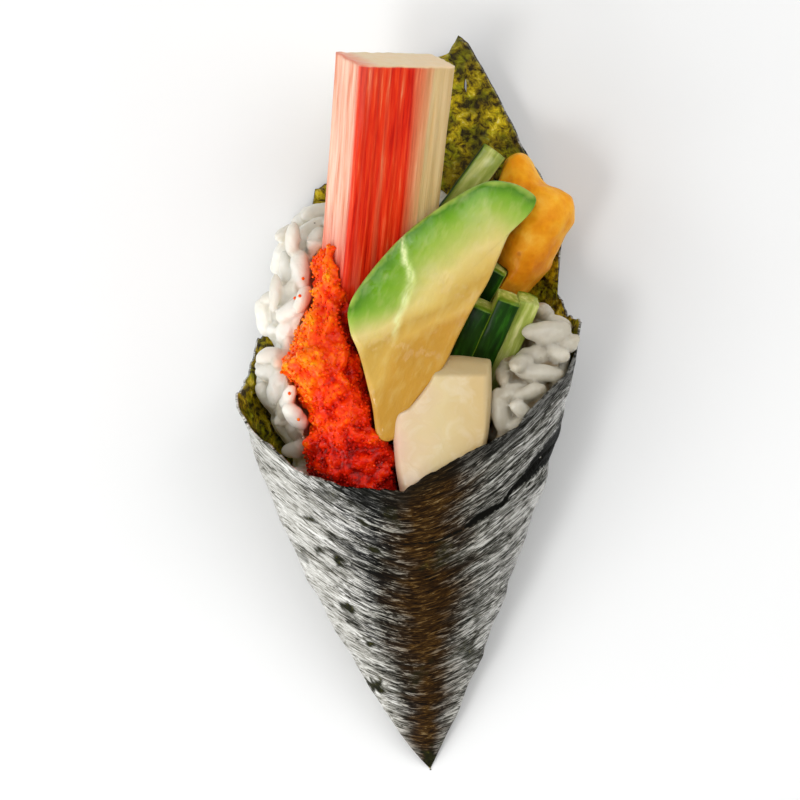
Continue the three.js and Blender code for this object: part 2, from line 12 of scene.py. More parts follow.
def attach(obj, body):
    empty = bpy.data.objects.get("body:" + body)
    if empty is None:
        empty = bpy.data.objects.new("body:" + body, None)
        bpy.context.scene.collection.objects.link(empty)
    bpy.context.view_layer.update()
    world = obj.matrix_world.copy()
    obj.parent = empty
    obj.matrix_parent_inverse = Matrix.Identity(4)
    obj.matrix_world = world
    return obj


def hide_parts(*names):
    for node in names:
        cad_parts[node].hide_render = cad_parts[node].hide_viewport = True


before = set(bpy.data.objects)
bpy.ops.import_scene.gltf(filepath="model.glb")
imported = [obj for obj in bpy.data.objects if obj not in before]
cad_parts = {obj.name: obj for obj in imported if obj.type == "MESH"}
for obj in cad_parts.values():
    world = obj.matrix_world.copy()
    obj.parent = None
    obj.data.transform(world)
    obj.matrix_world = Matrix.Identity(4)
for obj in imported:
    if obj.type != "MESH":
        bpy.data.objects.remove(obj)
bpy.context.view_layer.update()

# ---- Sizes, in millimetres from the roll's tip along the table ----

TIP = Vector((4.647, -74.1, 0))  # where the tip lies in the row frame

FLARE = 0.585
FLARE_LOSS = 0.002
TIP_ROUND = 0.8
TIP_REACH = 4
SIDE_DRIFT = 0.81
DRIFT_START = 1.5
DEPTH_RATIO = 0.68
FLAT_CUT = 0.6
FLAP_START = 100
FLAP_CURL = 6
FLAP_LENGTH = 48
WRINKLE = 0.35

# The upper edge of the sheet in plan: over the back flap, then along the front lip.
BACK_RIM = [
    (-39.4, 74.8), (-37.6, 77.8), (-35.8, 83.4), (-35.2, 87.2), (-33.4, 88.4), (-30.2, 93), (-26.4, 103),
    (-24.2, 112.6), (-23.4, 117.4), (-19.6, 119), (-10.2, 130.8), (-0.2, 143.2), (3.8, 144.6),
    (5.6, 148.2), (7.6, 146.8), (12.2, 138.8), (18.2, 126.8), (22, 120.4), (26.2, 106.6), (25.9, 101),
    (25.4, 96.4), (27.6, 91.6), (30.2, 90.2),
]
FRONT_LIP = [
    (29.4, 84.4), (28, 80.8), (25.6, 78.2), (20, 72.8), (17.8, 69.4), (9.8, 65.2), (0, 60.2), (-5.4, 56.6),
    (-17.2, 57.4), (-26.8, 60.6), (-32.2, 65.6), (-36.5, 68.6),
]
SHEET = 0.5  # thickness of the wrapped nori where its edge shows
SHEET_ROWS = 140
COLUMN_STEP = 1.1  # degrees at most from one column of the sheet to the next
TEAR = (7.4, 138.2)  # a small slit in the flap
TEAR_REACH = 1.9

# The crease where one turn of the sheet laps over the next: a point in plan and half its width there.
CREASE = [
    (28, 71, 1.5), (27.2, 68.8, 1.8), (24, 64.4, 1.5), (20.2, 60.4, 0.8), (16, 56.8, 0.2), (14.4, 54, 0.35),
    (10.2, 51.6, 0.7), (6.8, 49.2, 0.25), (1.2, 46.6, 0.2), (-6, 46, 0.12), (-18, 46.6, 0.08),
]

CRAB = {"width": 21.4, "depth": 12, "length": 78, "tilt": 14, "lean": 5.2, "roll": 27.5, "round": 1.4}
CRAB_TOP = (-7.1, 142.9, 30.6)
CRAB_END_SLOPE = -0.03

CUCUMBERS = [
    dict(end=(10.3, 94, 26.6), width=4.6, depth=5, length=30, tilt=25, lean=24, roll=4),
    dict(end=(15.6, 95.4, 27.4), width=4.8, depth=5.2, length=31, tilt=25, lean=24, roll=10),
    dict(end=(19.5, 95.2, 25.6), width=4.2, depth=4.8, length=29, tilt=25, lean=24, roll=196),
    dict(end=(13.4, 101.4, 21.8), width=4.4, depth=4.6, length=32, tilt=22, lean=30, roll=0),
    dict(end=(12.8, 124.8, 16.5), width=5, depth=5.2, length=25, tilt=15, lean=36, roll=-90, slant=0.3),
]

# The first eight corners of the avocado's outline are on its outer side, where the skin was.
AVOCADO_OUTLINE = [
    (20.2, 115.8), (15.8, 118), (9.8, 117.8), (-0.2, 111.8), (-8.2, 104.8), (-15.8, 94.8), (-16.2, 88.8),
    (-14.2, 83.5), (-11.8, 74), (-10.6, 67.6), (-7.2, 67.2), (-3.6, 73.8), (2.2, 81), (5.2, 87),
    (8.4, 93.2), (11.4, 98.4), (13.4, 103), (15.8, 108.2), (19.2, 111.4), (20.8, 114),
]
AVOCADO_RIDGE = [(82.8, -7.8), (90.8, -6.2), (98.2, -3.4), (107.6, -5.6)]
CREAM_OUTLINE = [
    (12, 81.2), (11.8, 82.6), (10.6, 83.1), (2.4, 83.4), (-0.6, 78.4), (-4.4, 73.6), (-7.4, 71.4),
    (-7.4, 65), (-6.6, 58.5), (-5, 54), (-1, 54.6), (4, 57.2), (9, 60.8), (11.2, 67), (12, 75),
]

CREAM_TOP = 34.6
CREAM_STRIP = 79.6  # past here its upper face slopes down to the back

WORN_WAY = Vector((0.87, -0.49))  # the way the worn patches of the nori point in plan
# Patches where the film has worn off the nori: middle in plan, half-length and half-width.
WORN = [
    (-11.6, 17.2, 2.8, 1.6), (-19, 42.8, 2.2, 0.9), (-22.6, 44.6, 1.4, 0.7), (-16.6, 33.2, 2.3, 0.9),
    (-10.8, 44.8, 2.2, 0.6), (-24.4, 51, 1.6, 0.5), (-13.4, 50.2, 1.8, 0.5), (-12.2, 26, 1.5, 0.6),
    (-0.5, 1.5, 2.5, 3),
]

GRAIN = {"length": 7.8, "width": 3.4, "height": 2.9}
GRAIN_SPACING = 2.9  # between the middles of loose grains
TOP_SPACING = 3.4  # from the middle of a grain laid on top to that of a loose one
CROSSWISE = 4  # the grains right of here lie crosswise and are greyer
RICE_GRID = 0.34  # cell of the skin over all the grains
RICE_KEEP = 0.42  # share of that skin's faces that stays

# The grains that lie on top at the open end: middle in plan, length, width, the way they point in
# degrees, and how white they are.
TOP_GRAINS = [
    (-26.6, 111.2, 8, 3.9, 40, 0.95), (-22.4, 112.2, 8.4, 4, 14, 0.9), (-23.2, 107.2, 5.6, 3, 70, 0.8),
    (-30, 103.8, 8, 3.9, 65, 1), (-26.4, 105.8, 7.6, 3.7, 58, 0.95), (-26, 100.8, 9, 4, 105, 0.9),
    (-29.2, 98.2, 8.6, 3.6, 92, 1), (-31.4, 96.2, 8, 2.7, 96, 0.8), (-33.6, 91.4, 8, 3.7, 94, 1),
    (-27.8, 92.6, 7.6, 3.7, 25, 0.95), (-29, 88.8, 6.6, 4, 60, 0.95), (-25.6, 94.8, 6.2, 3.4, 45, 0.85),
    (-32.4, 83.4, 5.8, 3.3, 12, 0.85), (-32.2, 80.6, 6.8, 3.6, 8, 0.95),
    (-30.6, 77.4, 8, 4.2, 72, 0.95), (-28.8, 73.6, 6.2, 3.4, 64, 0.5), (-29.8, 71.6, 5, 2.8, 58, 0.7),
    (-27.8, 69.6, 6, 2.8, 97, 0.55), (-25.4, 72.6, 5, 2.3, 125, 0.6),
    (23, 88.6, 10.4, 4.5, 8, 0.55), (25.4, 90.4, 6.6, 2.8, -14, 0.5), (20, 83.6, 7.4, 3.9, 16, 0.5),
    (18.2, 85.4, 4, 2.6, 62, 0.1), (25.4, 84.2, 5.4, 3, -6, 0.62), (28.6, 85.6, 6.4, 3.2, 38, 0.5),
    (23, 80.1, 10.6, 3.5, -4, 0.55), (19.4, 76.2, 7.6, 3.1, 14, 0.5),
    (17.6, 72.9, 5.2, 3, -16, 0.62), (13.8, 72.6, 9.6, 4.1, 97, 0.5), (14.4, 80.8, 6.4, 3.6, 34, 0.55),
    (13.2, 83.6, 4.4, 2.8, 96, 0.55), (16.6, 69.8, 4.4, 2.4, 22, 0.45),
]
EGG = 0.7  # across
EGG_SPACING = 0.8
ROE_GRID = 0.36
STRAY_EGGS = [
    (-26.8, 96.2), (-26.2, 95.6), (-27.2, 95.2), (-24.8, 92.6), (-24.3, 91.7), (-25.3, 92.1), (-27.9, 84.4),
    (-28.8, 80.2), (-25.6, 99.1), (-28.2, 76.1), (-26.4, 70.9),
]


# ---- Small helpers ----


def mm(x, y, z):
    """A point given in millimetres from the roll's tip, in the row frame."""
    return (Vector((x, y, z)) + TIP) / 1000


def local(point):
    """A point of the row frame in millimetres from the roll's tip."""
    return point * 1000 - TIP


def smooth(value, low, high):
    share = min(1, max(0, (value - low) / (high - low)))
    return share * share * (3 - 2 * share)


def look_up(pairs, key):
    """Straight interpolation in a list of (key, value) pairs, level past both ends."""
    if key <= pairs[0][0]:
        return pairs[0][1]
    for (start, before), (end, value) in zip(pairs, pairs[1:]):
        if key <= end:
            return before + (value - before) * (key - start) / (end - start)
    return pairs[-1][1]


def wobble(point, size, seed=0):
    """Smooth noise from -1 to 1 with lumps of about the given size, both in the same unit."""
    return noise.noise(Vector(point) / size + Vector((seed * 7.3, seed * 3.1, seed * 5.7)))


def curve_points(corners, count):
    """Evenly spaced points on a smooth closed curve through the corners."""
    fine = []
    total = len(corners)
    for i in range(total):
        a, b, c, d = (Vector(corners[(i + k) % total]) for k in (-1, 0, 1, 2))
        for step in range(12):
            t = step / 12
            square, cube = 2 * a - 5 * b + 4 * c - d, 3 * b - a - 3 * c + d
            fine.append(0.5 * (2 * b + (c - a) * t + square * t**2 + cube * t**3))
    ring = [*fine, fine[0]]
    lengths = [0.0]
    for p, q in zip(ring, ring[1:]):
        lengths.append(lengths[-1] + (q - p).length)
    points = []
    k = 0
    for i in range(count):
        goal = lengths[-1] * i / count
        while lengths[k + 1] < goal:
            k += 1
        share = (goal - lengths[k]) / (lengths[k + 1] - lengths[k])
        points.append(ring[k].lerp(ring[k + 1], share))
    return points


def distance_to_line(x, y, line):
    """How far a point in plan is from a line of corners, how far along it, and on which side (-1, 1)."""
    best = (1e9, 0, 1)
    for i, (a, b) in enumerate(zip(line, line[1:])):
        a, b, p = Vector(a[:2]), Vector(b[:2]), Vector((x, y))
        share = min(1, max(0, (p - a).dot(b - a) / (b - a).length_squared))
        side = math.copysign(1, (b - a).cross(p - a))
        best = min(best, ((p - a.lerp(b, share)).length, i + share, side))
    return best


def piece(name, bm, materials, slot, *nodes):
    """Makes a mesh a piece of the roll, in place of the CAD nodes."""
    mesh = bpy.data.meshes.new(name)
    bm.to_mesh(mesh)
    bm.free()
    mesh.shade_smooth()
    for material in materials:
        mesh.materials.append(material)
    made = bpy.data.objects.new(name, mesh)
    bpy.context.scene.collection.objects.link(made)
    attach(made, "root")
    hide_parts(*nodes)
    return made


def merged(node):
    """A bmesh over a CAD node with its corners joined."""
    bm = bmesh.new()
    bm.from_mesh(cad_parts[node].data)
    bmesh.ops.remove_doubles(bm, verts=bm.verts, dist=1e-6)
    return bm


def fused(bm, voxel, rounds, keep=1):
    """One rounded skin over everything in a bmesh; keep is the share of its faces that stays."""
    mesh = bpy.data.meshes.new("rough")
    bm.to_mesh(mesh)
    bm.free()
    block = bpy.data.objects.new("rough", mesh)
    bpy.context.scene.collection.objects.link(block)
    remesh = block.modifiers.new("even", "REMESH")
    remesh.mode = "VOXEL"
    remesh.voxel_size = voxel / 1000
    relax = block.modifiers.new("relax", "SMOOTH")
    relax.factor = 0.5
    relax.iterations = rounds
    if keep < 1:
        block.modifiers.new("fewer", "DECIMATE").ratio = keep
    skin = bmesh.new()
    skin.from_object(block, bpy.context.evaluated_depsgraph_get())
    bpy.data.objects.remove(block)
    bpy.data.meshes.remove(mesh)
    skin.normal_update()
    return skin


def push(bm, height):
    """Moves each vertex along its normal by height(place, normal), in millimetres."""
    for vert, normal in [(v, v.normal.copy()) for v in bm.verts]:
        vert.co += normal * height(local(vert.co), normal) / 1000
    bm.normal_update()


def linear(code):
    """An sRGB hex colour as linear RGBA."""
    values = [int(code[i : i + 2], 16) / 255 for i in (1, 3, 5)]
    return [v / 12.92 if v <= 0.04045 else ((v + 0.055) / 1.055) ** 2.4 for v in values] + [1]


def every(size):
    """The scale of a pattern that repeats about every so many millimetres."""
    return 1000 / size


def output(source):
    """The socket that a node, or a (node, output) pair, feeds others from: a node's first one in use."""
    if isinstance(source, tuple):
        return source[0].outputs[source[1]]
    return next(socket for socket in source.outputs if socket.enabled)


def add(tree, kind, inputs=(), stops=(), **settings):
    """Adds a node. An input is a value, a hex colour or what feeds it; stops are a ramp's."""
    made = tree.nodes.new("ShaderNode" + kind)
    for name, value in settings.items():
        setattr(made, name, value)
    ramp = made.color_ramp.elements if stops else []
    while len(ramp) < len(stops):
        ramp.new(0.5)
    for element, (position, code) in zip(ramp, stops):
        element.position = position
        element.color = linear(code)
    for key, value in inputs.items() if isinstance(inputs, dict) else enumerate(inputs):
        first = value[0] if isinstance(value, tuple) else value
        if isinstance(first, bpy.types.Node):
            tree.links.new(output(value), made.inputs[key])
        else:
            made.inputs[key].default_value = linear(value) if isinstance(value, str) else value
    return made


def attribute(tree, name, kind="Fac"):
    """A value that the piece-making functions leave on each vertex."""
    return add(tree, "Attribute", attribute_name=name), kind


def cloudy(tree, place, size, **inputs):
    """Noise with lumps of about the given size in millimetres."""
    return add(tree, "TexNoise", {"Vector": place, "Scale": every(size), **inputs})


def maths(tree, operation, *values):
    return add(tree, "Math", values, operation=operation)


def ranged(tree, *values):
    """Takes a value from one range to another, which is 0 to 1 when left out."""
    return add(tree, "MapRange", values)


def shades(tree, source, stops):
    """A colour ramp."""
    return add(tree, "ValToRGB", {"Fac": source}, stops)


def mix(tree, share, first, second, **settings):
    """The first colour with the given share of the second."""
    return add(tree, "Mix", {0: share, 6: first, 7: second}, data_type="RGBA", **settings)


def material(name, **sockets):
    """A new material with a Principled shader; sockets are its plain values, named with _ for spaces."""
    made = bpy.data.materials.new(name)
    made.use_nodes = True
    tree = made.node_tree
    tree.nodes.clear()
    shader = add(tree, "BsdfPrincipled", {key.replace("_", " "): value for key, value in sockets.items()})
    add(tree, "OutputMaterial", {"Surface": (shader, "BSDF")})
    return made, tree, shader


def wire(tree, shader, **sources):
    """Feeds the shader's inputs, named with _ for spaces."""
    for name, source in sources.items():
        tree.links.new(output(source), shader.inputs[name.replace("_", " ")])


# ---- Materials ----


def nori_outside():
    """Roasted nori, smooth side: a creased black film, a painted silvery sheen at the sides, and brown in
    front.
    """
    made, tree, shader = material(
        "roasted_nori_smooth_side", IOR=1.5, Specular_IOR_Level=0.05, Coat_IOR=1.9, Coat_Roughness=0.22
    )
    place = (add(tree, "TexCoord"), "Object")
    axes = add(tree, "SeparateXYZ", {"Vector": place})
    lay = attribute(tree, "lay", "Vector")
    flank = attribute(tree, "flank")
    worn = attribute(tree, "worn")
    crease = attribute(tree, "crease")
    below = attribute(tree, "below")
    drawn = add(tree, "Mapping", {"Vector": lay, "Scale": (0.12, 0.12, 1)})
    creases = cloudy(tree, drawn, 0.34, Detail=5, Roughness=0.66, Distortion=1.0)
    broad = cloudy(tree, drawn, 1.5)
    folds = cloudy(tree, drawn, 2.6, Distortion=1.2)
    pores = cloudy(tree, place, 0.9, Detail=3, Roughness=0.6)
    patches = cloudy(tree, place, 9, Detail=3)
    off = maths(tree, "SUBTRACT", (axes, "X"), 0.0038)
    aside = maths(tree, "ABSOLUTE", off)
    narrowing = maths(tree, "MULTIPLY_ADD", (axes, "Y"), -0.07, aside)
    wavy = maths(tree, "MULTIPLY_ADD", patches, 0.011, narrowing)
    ragged = maths(tree, "MULTIPLY_ADD", folds, 0.004, wavy)
    # The front band shows the nori's own brown, without the painted sheen.
    front_band = ranged(tree, ragged, 0.0125, 0.0195, 1.0, 0.0)
    lively = ranged(tree, ragged, 0.0135, 0.0255, 0.1, 1.0)
    # Painted silvery sheen standing in for the reflection of the side lamps: full on the left flank, half
    # on the right.
    shifted = maths(tree, "MULTIPLY_ADD", broad, 0.9, flank)
    left = ranged(tree, shifted, 0.12, -0.42)
    right = ranged(tree, shifted, 0.78, 1.34, 0.0, 0.5)
    painted_sheen_share = maths(tree, "MAXIMUM", left, right)
    lined = maths(tree, "MULTIPLY_ADD", folds, 0.3, creases)
    blend = maths(tree, "MULTIPLY_ADD", painted_sheen_share, 0.09, lined)
    ridges = ranged(tree, blend, 0.61, 0.77)
    # The lightest creases of the film are painted glints.
    film = shades(
        tree, ridges,
        [(0.05, "#060604"), (0.3, "#17160e"), (0.55, "#38362d"), (0.8, "#68665d"), (1.0, "#a4a298")],
    )
    softer = ranged(tree, blend, 0.52, 0.86)
    painted_sheen = shades(
        tree, softer,
        [(0.0, "#1b1a12"), (0.25, "#4a483e"), (0.5, "#96948a"), (0.75, "#c6c4bb"), (1.0, "#e6e5de")],
    )
    sides = mix(tree, painted_sheen_share, film, painted_sheen)
    # The light top stop of the brown paints glints on its creases.
    brown = shades(
        tree, creases,
        [(0.36, "#0a0501"), (0.5, "#2c1a05"), (0.6, "#4e3612"), (0.7, "#8a744e")],
    )
    green = shades(tree, pores, [(0.3, "#0c0d06"), (0.6, "#24240b"), (0.78, "#5f591c")])
    front = mix(tree, front_band, sides, brown)
    thin = ranged(tree, patches, 0.62, 0.68, 0.0, 0.6)
    bare = maths(tree, "MAXIMUM", thin, worn)
    skin = mix(tree, bare, front, green)
    # Painted shade in the lapped crease, and a darker band along the front lip.
    frayed = maths(tree, "MULTIPLY_ADD", pores, 0.5, crease)
    painted_crease_shade = ranged(tree, frayed, 0.45, 0.58, 1.0, 0.0)
    uneven = maths(tree, "MULTIPLY_ADD", folds, 0.3, below)
    lip = ranged(tree, uneven, 0.35, 0.6, 0.7, 0.0)
    dark = maths(tree, "MAXIMUM", painted_crease_shade, lip)
    colour = mix(tree, dark, skin, "#090905")
    dull = maths(tree, "MAXIMUM", dark, bare)
    gloss = maths(tree, "MULTIPLY_ADD", dull, -0.95, 1.0)
    shine = maths(tree, "MULTIPLY", ridges, lively)
    glint = maths(tree, "MULTIPLY", shine, gloss)
    height = maths(tree, "MULTIPLY_ADD", folds, 2.0, creases)
    coarse = add(tree, "Bump", {"Height": height, "Strength": lively, "Distance": 0.0004})
    fine = add(tree, "Bump", {"Height": pores, "Strength": 0.5, "Distance": 0.0002, "Normal": coarse})
    rough = ranged(tree, glint, 0.0, 1.0, 0.6, 0.27)
    wire(tree, shader, Base_Color=colour, Normal=fine, Roughness=rough, Coat_Weight=glint)
    return made


def nori_inside():
    """Roasted nori, rough side: pressed seaweed shreds, brown-black, green and gold, with wet glints; its
    palest golds are painted glints.
    """
    made, tree, shader = material(
        "roasted_nori_rough_side", IOR=1.45, Roughness=0.4, Specular_IOR_Level=0.2, Coat_Weight=0.7,
        Coat_Roughness=0.1,
    )
    place = (add(tree, "TexCoord"), "Object")
    shreds = cloudy(tree, place, 1.7, Detail=5, Roughness=0.66, Distortion=0.5)
    patches = cloudy(tree, place, 6, Detail=3)
    hue = cloudy(tree, place, 4)
    # The palest golds of the shreds are painted glints.
    weed_and_glints = shades(
        tree, shreds,
        [
            (0.34, "#1a1002"), (0.42, "#584602"), (0.49, "#aa9204"), (0.56, "#d8be0a"), (0.63, "#f8e034"),
            (0.7, "#fff6a0"),
        ],
    )
    leafy = ranged(tree, hue, 0.46, 0.6, 0.0, 0.8)
    green = mix(tree, leafy, weed_and_glints, "#a9c84c", blend_type="MULTIPLY")
    shade = ranged(tree, patches, 0.38, 0.56, 0.45, 1.0)
    shaded = mix(tree, shade, "#170f04", green)
    bump = add(tree, "Bump", {"Height": shreds, "Distance": 0.0016})
    wire(tree, shader, Base_Color=shaded, Normal=bump)
    return made


def cooked_rice():
    """Boiled short-grain rice: moist, milky, soft-edged, pink where it soaks up juice from the roe, and
    darker and browner between the grains as painted shade.
    """
    made, tree, shader = material(
        "boiled_rice", IOR=1.38, Roughness=0.4, Coat_Weight=0.25, Coat_Roughness=0.2,
        Subsurface_Weight=0.85, Subsurface_Radius=(1.0, 0.93, 0.84), Subsurface_Scale=0.003,
    )
    place = (add(tree, "TexCoord"), "Object")
    tint = attribute(tree, "tint")
    stain = attribute(tree, "stain")
    cloud = cloudy(tree, place, 2.2, Detail=3)
    starch = shades(tree, tint, [(0.0, "#86704e"), (0.4, "#aea592"), (0.8, "#dedacf"), (1.0, "#ebe8df")])
    clear = ranged(tree, cloud, 0.4, 0.7, 0.0, 0.3)
    colour = mix(tree, clear, starch, "#d3d0c0")
    flecks = add(tree, "TexVoronoi", {"Vector": place, "Scale": every(7)})
    fleck = ranged(tree, flecks, 0.022, 0.042, 0.8, 0.0)
    flecked = mix(tree, fleck, colour, "#4d4030")
    juicy = mix(tree, stain, flecked, "#e9a27c")
    skin = cloudy(tree, place, 1, Detail=3)
    bump = add(tree, "Bump", {"Height": skin, "Strength": 0.5, "Distance": 0.0002})
    wire(tree, shader, Base_Color=juicy, Normal=bump)
    return made


def roe_skin():
    """Seasoned roe: tiny see-through eggs, wet, from orange at the left to a painted-shade deep red by the
    front lip.
    """
    made, tree, shader = material(
        "seasoned_roe", IOR=1.4, Roughness=0.3, Specular_IOR_Level=0.1, Coat_Weight=0.2,
        Coat_Roughness=0.12, Subsurface_Weight=0.45, Subsurface_Radius=(1.0, 0.3, 0.04),
        Subsurface_Scale=0.0009,
    )
    place = (add(tree, "TexCoord"), "Object")
    tint = attribute(tree, "tint")
    eggs = add(tree, "TexVoronoi", {"Vector": place, "Scale": every(0.75), "Randomness": 0.9})
    each = add(tree, "SeparateColor", {"Color": (eggs, "Color")})
    uneven = maths(tree, "MULTIPLY_ADD", (each, "Red"), 0.22, tint)
    # Painted shade where the eggs meet.
    painted_gap_shade = ranged(tree, eggs, 0.35, 0.8, 0.0, 0.1)
    depth = maths(tree, "SUBTRACT", uneven, painted_gap_shade)
    colour = shades(
        tree, depth,
        [(0.0, "#8e0a03"), (0.22, "#d41a03"), (0.5, "#f03c03"), (0.75, "#fc6a05"), (1.0, "#ffa010")],
    )
    bump = add(tree, "Bump", {"Height": eggs, "Strength": 0.45, "Distance": 0.0003}, invert=True)
    wire(tree, shader, Base_Color=colour, Normal=bump)
    return made


def crab_flesh():
    """Fish-paste crab stick: long white fibres, dyed red in stripes on one face, bleeding at the edges."""
    made, tree, shader = material(
        "fish_paste_crab_stick", IOR=1.42, Roughness=0.42, Specular_IOR_Level=0.2, Coat_Weight=0.05,
        Coat_Roughness=0.25, Subsurface_Weight=0.25, Subsurface_Radius=(1.0, 0.5, 0.35),
        Subsurface_Scale=0.0012,
    )
    grain = attribute(tree, "grain", "Vector")
    axes = add(tree, "SeparateXYZ", {"Vector": grain})
    long_way = add(tree, "Mapping", {"Vector": grain, "Scale": (1, 0.045, 1)})
    threads = cloudy(tree, long_way, 0.8, Detail=4, Roughness=0.6)
    bundles = cloudy(tree, long_way, 3.2, Distortion=0.4)
    paste = shades(tree, threads, [(0.3, "#c6a26a"), (0.5, "#ceb07c"), (0.7, "#d8bd8e")])
    dye = shades(
        tree, threads,
        [(0.32, "#b41002"), (0.44, "#d42206"), (0.58, "#e43c14"), (0.7, "#ea6c42"), (0.8, "#f0ac84")],
    )
    blush = shades(
        tree, threads,
        [(0.3, "#dc8262"), (0.42, "#e8ab90"), (0.55, "#eec4aa"), (0.7, "#f3dac6")],
    )
    bled = maths(tree, "MULTIPLY_ADD", bundles, 0.008, (axes, "X"))
    front = ranged(tree, bled, 0.0055, 0.0095, 1.0, 0.0)
    top = ranged(tree, (axes, "Z"), 0.0042, 0.0056)
    end = ranged(tree, (axes, "Y"), -0.0006, -0.0001, 1.0, 0.08)
    stripes = ranged(tree, bundles, 0.3, 0.5, 0.75, 1.0)
    face = maths(tree, "MULTIPLY", front, top)
    ended = maths(tree, "MULTIPLY", face, end)
    dyed = maths(tree, "MULTIPLY", ended, stripes)
    strayed = maths(tree, "MULTIPLY_ADD", bundles, 0.003, (axes, "X"))
    side = ranged(tree, strayed, -0.0066, -0.0054, 1.0, 0.0)
    lower = ranged(tree, (axes, "Y"), -0.046, -0.03, 1.0, 0.0)
    soaked = maths(tree, "MULTIPLY", lower, side)
    base = mix(tree, side, paste, blush)
    red = maths(tree, "MAXIMUM", dyed, soaked)
    striped = mix(tree, red, base, dye)
    corner = ranged(tree, (axes, "X"), -0.0105, -0.006)
    cut = mix(tree, corner, "#e88f74", "#ead0a8")
    colour = mix(tree, end, cut, striped)
    bump = add(tree, "Bump", {"Height": threads, "Strength": end, "Distance": 0.00025})
    wire(tree, shader, Base_Color=colour, Normal=bump)
    return made


def avocado_flesh():
    """Ripe avocado: a pale rim painted as a wet highlight, green under the skin, then yellow and ochre,
    with a painted highlight along a ridge.
    """
    made, tree, shader = material(
        "ripe_avocado", IOR=1.42, Roughness=0.4, Specular_IOR_Level=0.12, Coat_Weight=0.5,
        Coat_Roughness=0.08, Subsurface_Weight=0.2, Subsurface_Radius=(0.9, 1.0, 0.3),
        Subsurface_Scale=0.0015,
    )
    place = (add(tree, "TexCoord"), "Object")
    depth = attribute(tree, "depth")
    ridge = attribute(tree, "ridge")
    cloud = cloudy(tree, place, 7, Detail=3)
    drift = maths(tree, "MULTIPLY_ADD", cloud, 0.004, depth)
    band = ranged(tree, drift, 0.0012, 0.0255)
    # The palest first stop, at the very rim, is a painted wet highlight.
    flesh = shades(
        tree, band,
        [
            (0.03, "#9eb850"), (0.07, "#4c8010"), (0.13, "#6c9c1e"), (0.24, "#94b040"), (0.37, "#b8ba60"),
            (0.5, "#d6c276"), (0.6, "#d0b260"), (0.7, "#be9844"), (0.86, "#cca44e"), (1.0, "#bc8c36"),
        ],
    )
    drawn = add(
        tree, "Mapping", {"Vector": place, "Rotation": (0, 0, -0.45), "Scale": (1, 3, 1)},
        vector_type="TEXTURE",
    )
    strands = cloudy(tree, drawn, 1.3, Detail=3)
    # Pale streaks along the flesh, painted as wet highlights.
    light = ranged(tree, strands, 0.5, 0.72, 0.0, 0.14)
    streaked = mix(tree, light, flesh, "#e3d692")
    broken = ranged(tree, strands, 0.35, 0.6, 0.25, 1.0)
    # A painted highlight along the ridge.
    painted_ridge_highlight = maths(tree, "MULTIPLY", broken, ridge)
    colour = mix(tree, painted_ridge_highlight, streaked, "#dfe6a6")
    bump = add(tree, "Bump", {"Height": strands, "Strength": 0.5, "Distance": 0.0004})
    beads = cloudy(tree, drawn, 1.4, Detail=1)
    wet = add(tree, "Bump", {"Height": beads, "Distance": 0.0005})
    juicy = ranged(tree, cloud, 0.5, 0.6, 0.1, 0.7)
    wire(tree, shader, Base_Color=colour, Normal=bump, Coat_Weight=juicy, Coat_Normal=wet)
    return made


def cucumber_flesh():
    """Cucumber: dark green glossy skin with paler streaks, over wet pale flesh."""
    made, tree, shader = material(
        "cucumber", IOR=1.4, Roughness=0.36, Specular_IOR_Level=0.15, Coat_Weight=0.2, Coat_Roughness=0.12,
        Subsurface_Weight=0.12, Subsurface_Radius=(0.7, 1.0, 0.3), Subsurface_Scale=0.0012,
    )
    grain = attribute(tree, "grain", "Vector")
    peel = attribute(tree, "peel")
    long_way = add(tree, "Mapping", {"Vector": grain, "Scale": (1, 0.15, 1)})
    streaks = cloudy(tree, long_way, 1.4, Detail=4, Roughness=0.6)
    skin = shades(
        tree, streaks,
        [(0.3, "#0b2203"), (0.55, "#183c06"), (0.72, "#2e6412"), (0.85, "#7fa848")],
    )
    flesh = shades(tree, streaks, [(0.3, "#7c8c32"), (0.5, "#a2ab52"), (0.7, "#cfcf8a")])
    under = shades(tree, peel, [(0.0, "#ffffff"), (0.66, "#fbfbe8"), (0.84, "#8fb24a")])
    wet = mix(tree, 1.0, flesh, under, blend_type="MULTIPLY")
    axes = add(tree, "SeparateXYZ", {"Vector": grain})
    rind = ranged(tree, peel, 0.82, 0.9)
    cut = ranged(tree, (axes, "Y"), -0.0004, -0.0001, 1.0, 0.0)
    edge = maths(tree, "MULTIPLY", rind, cut)
    colour = mix(tree, edge, wet, skin)
    bump = add(tree, "Bump", {"Height": streaks, "Strength": 0.6, "Distance": 0.00025})
    wire(tree, shader, Base_Color=colour, Normal=bump)
    return made


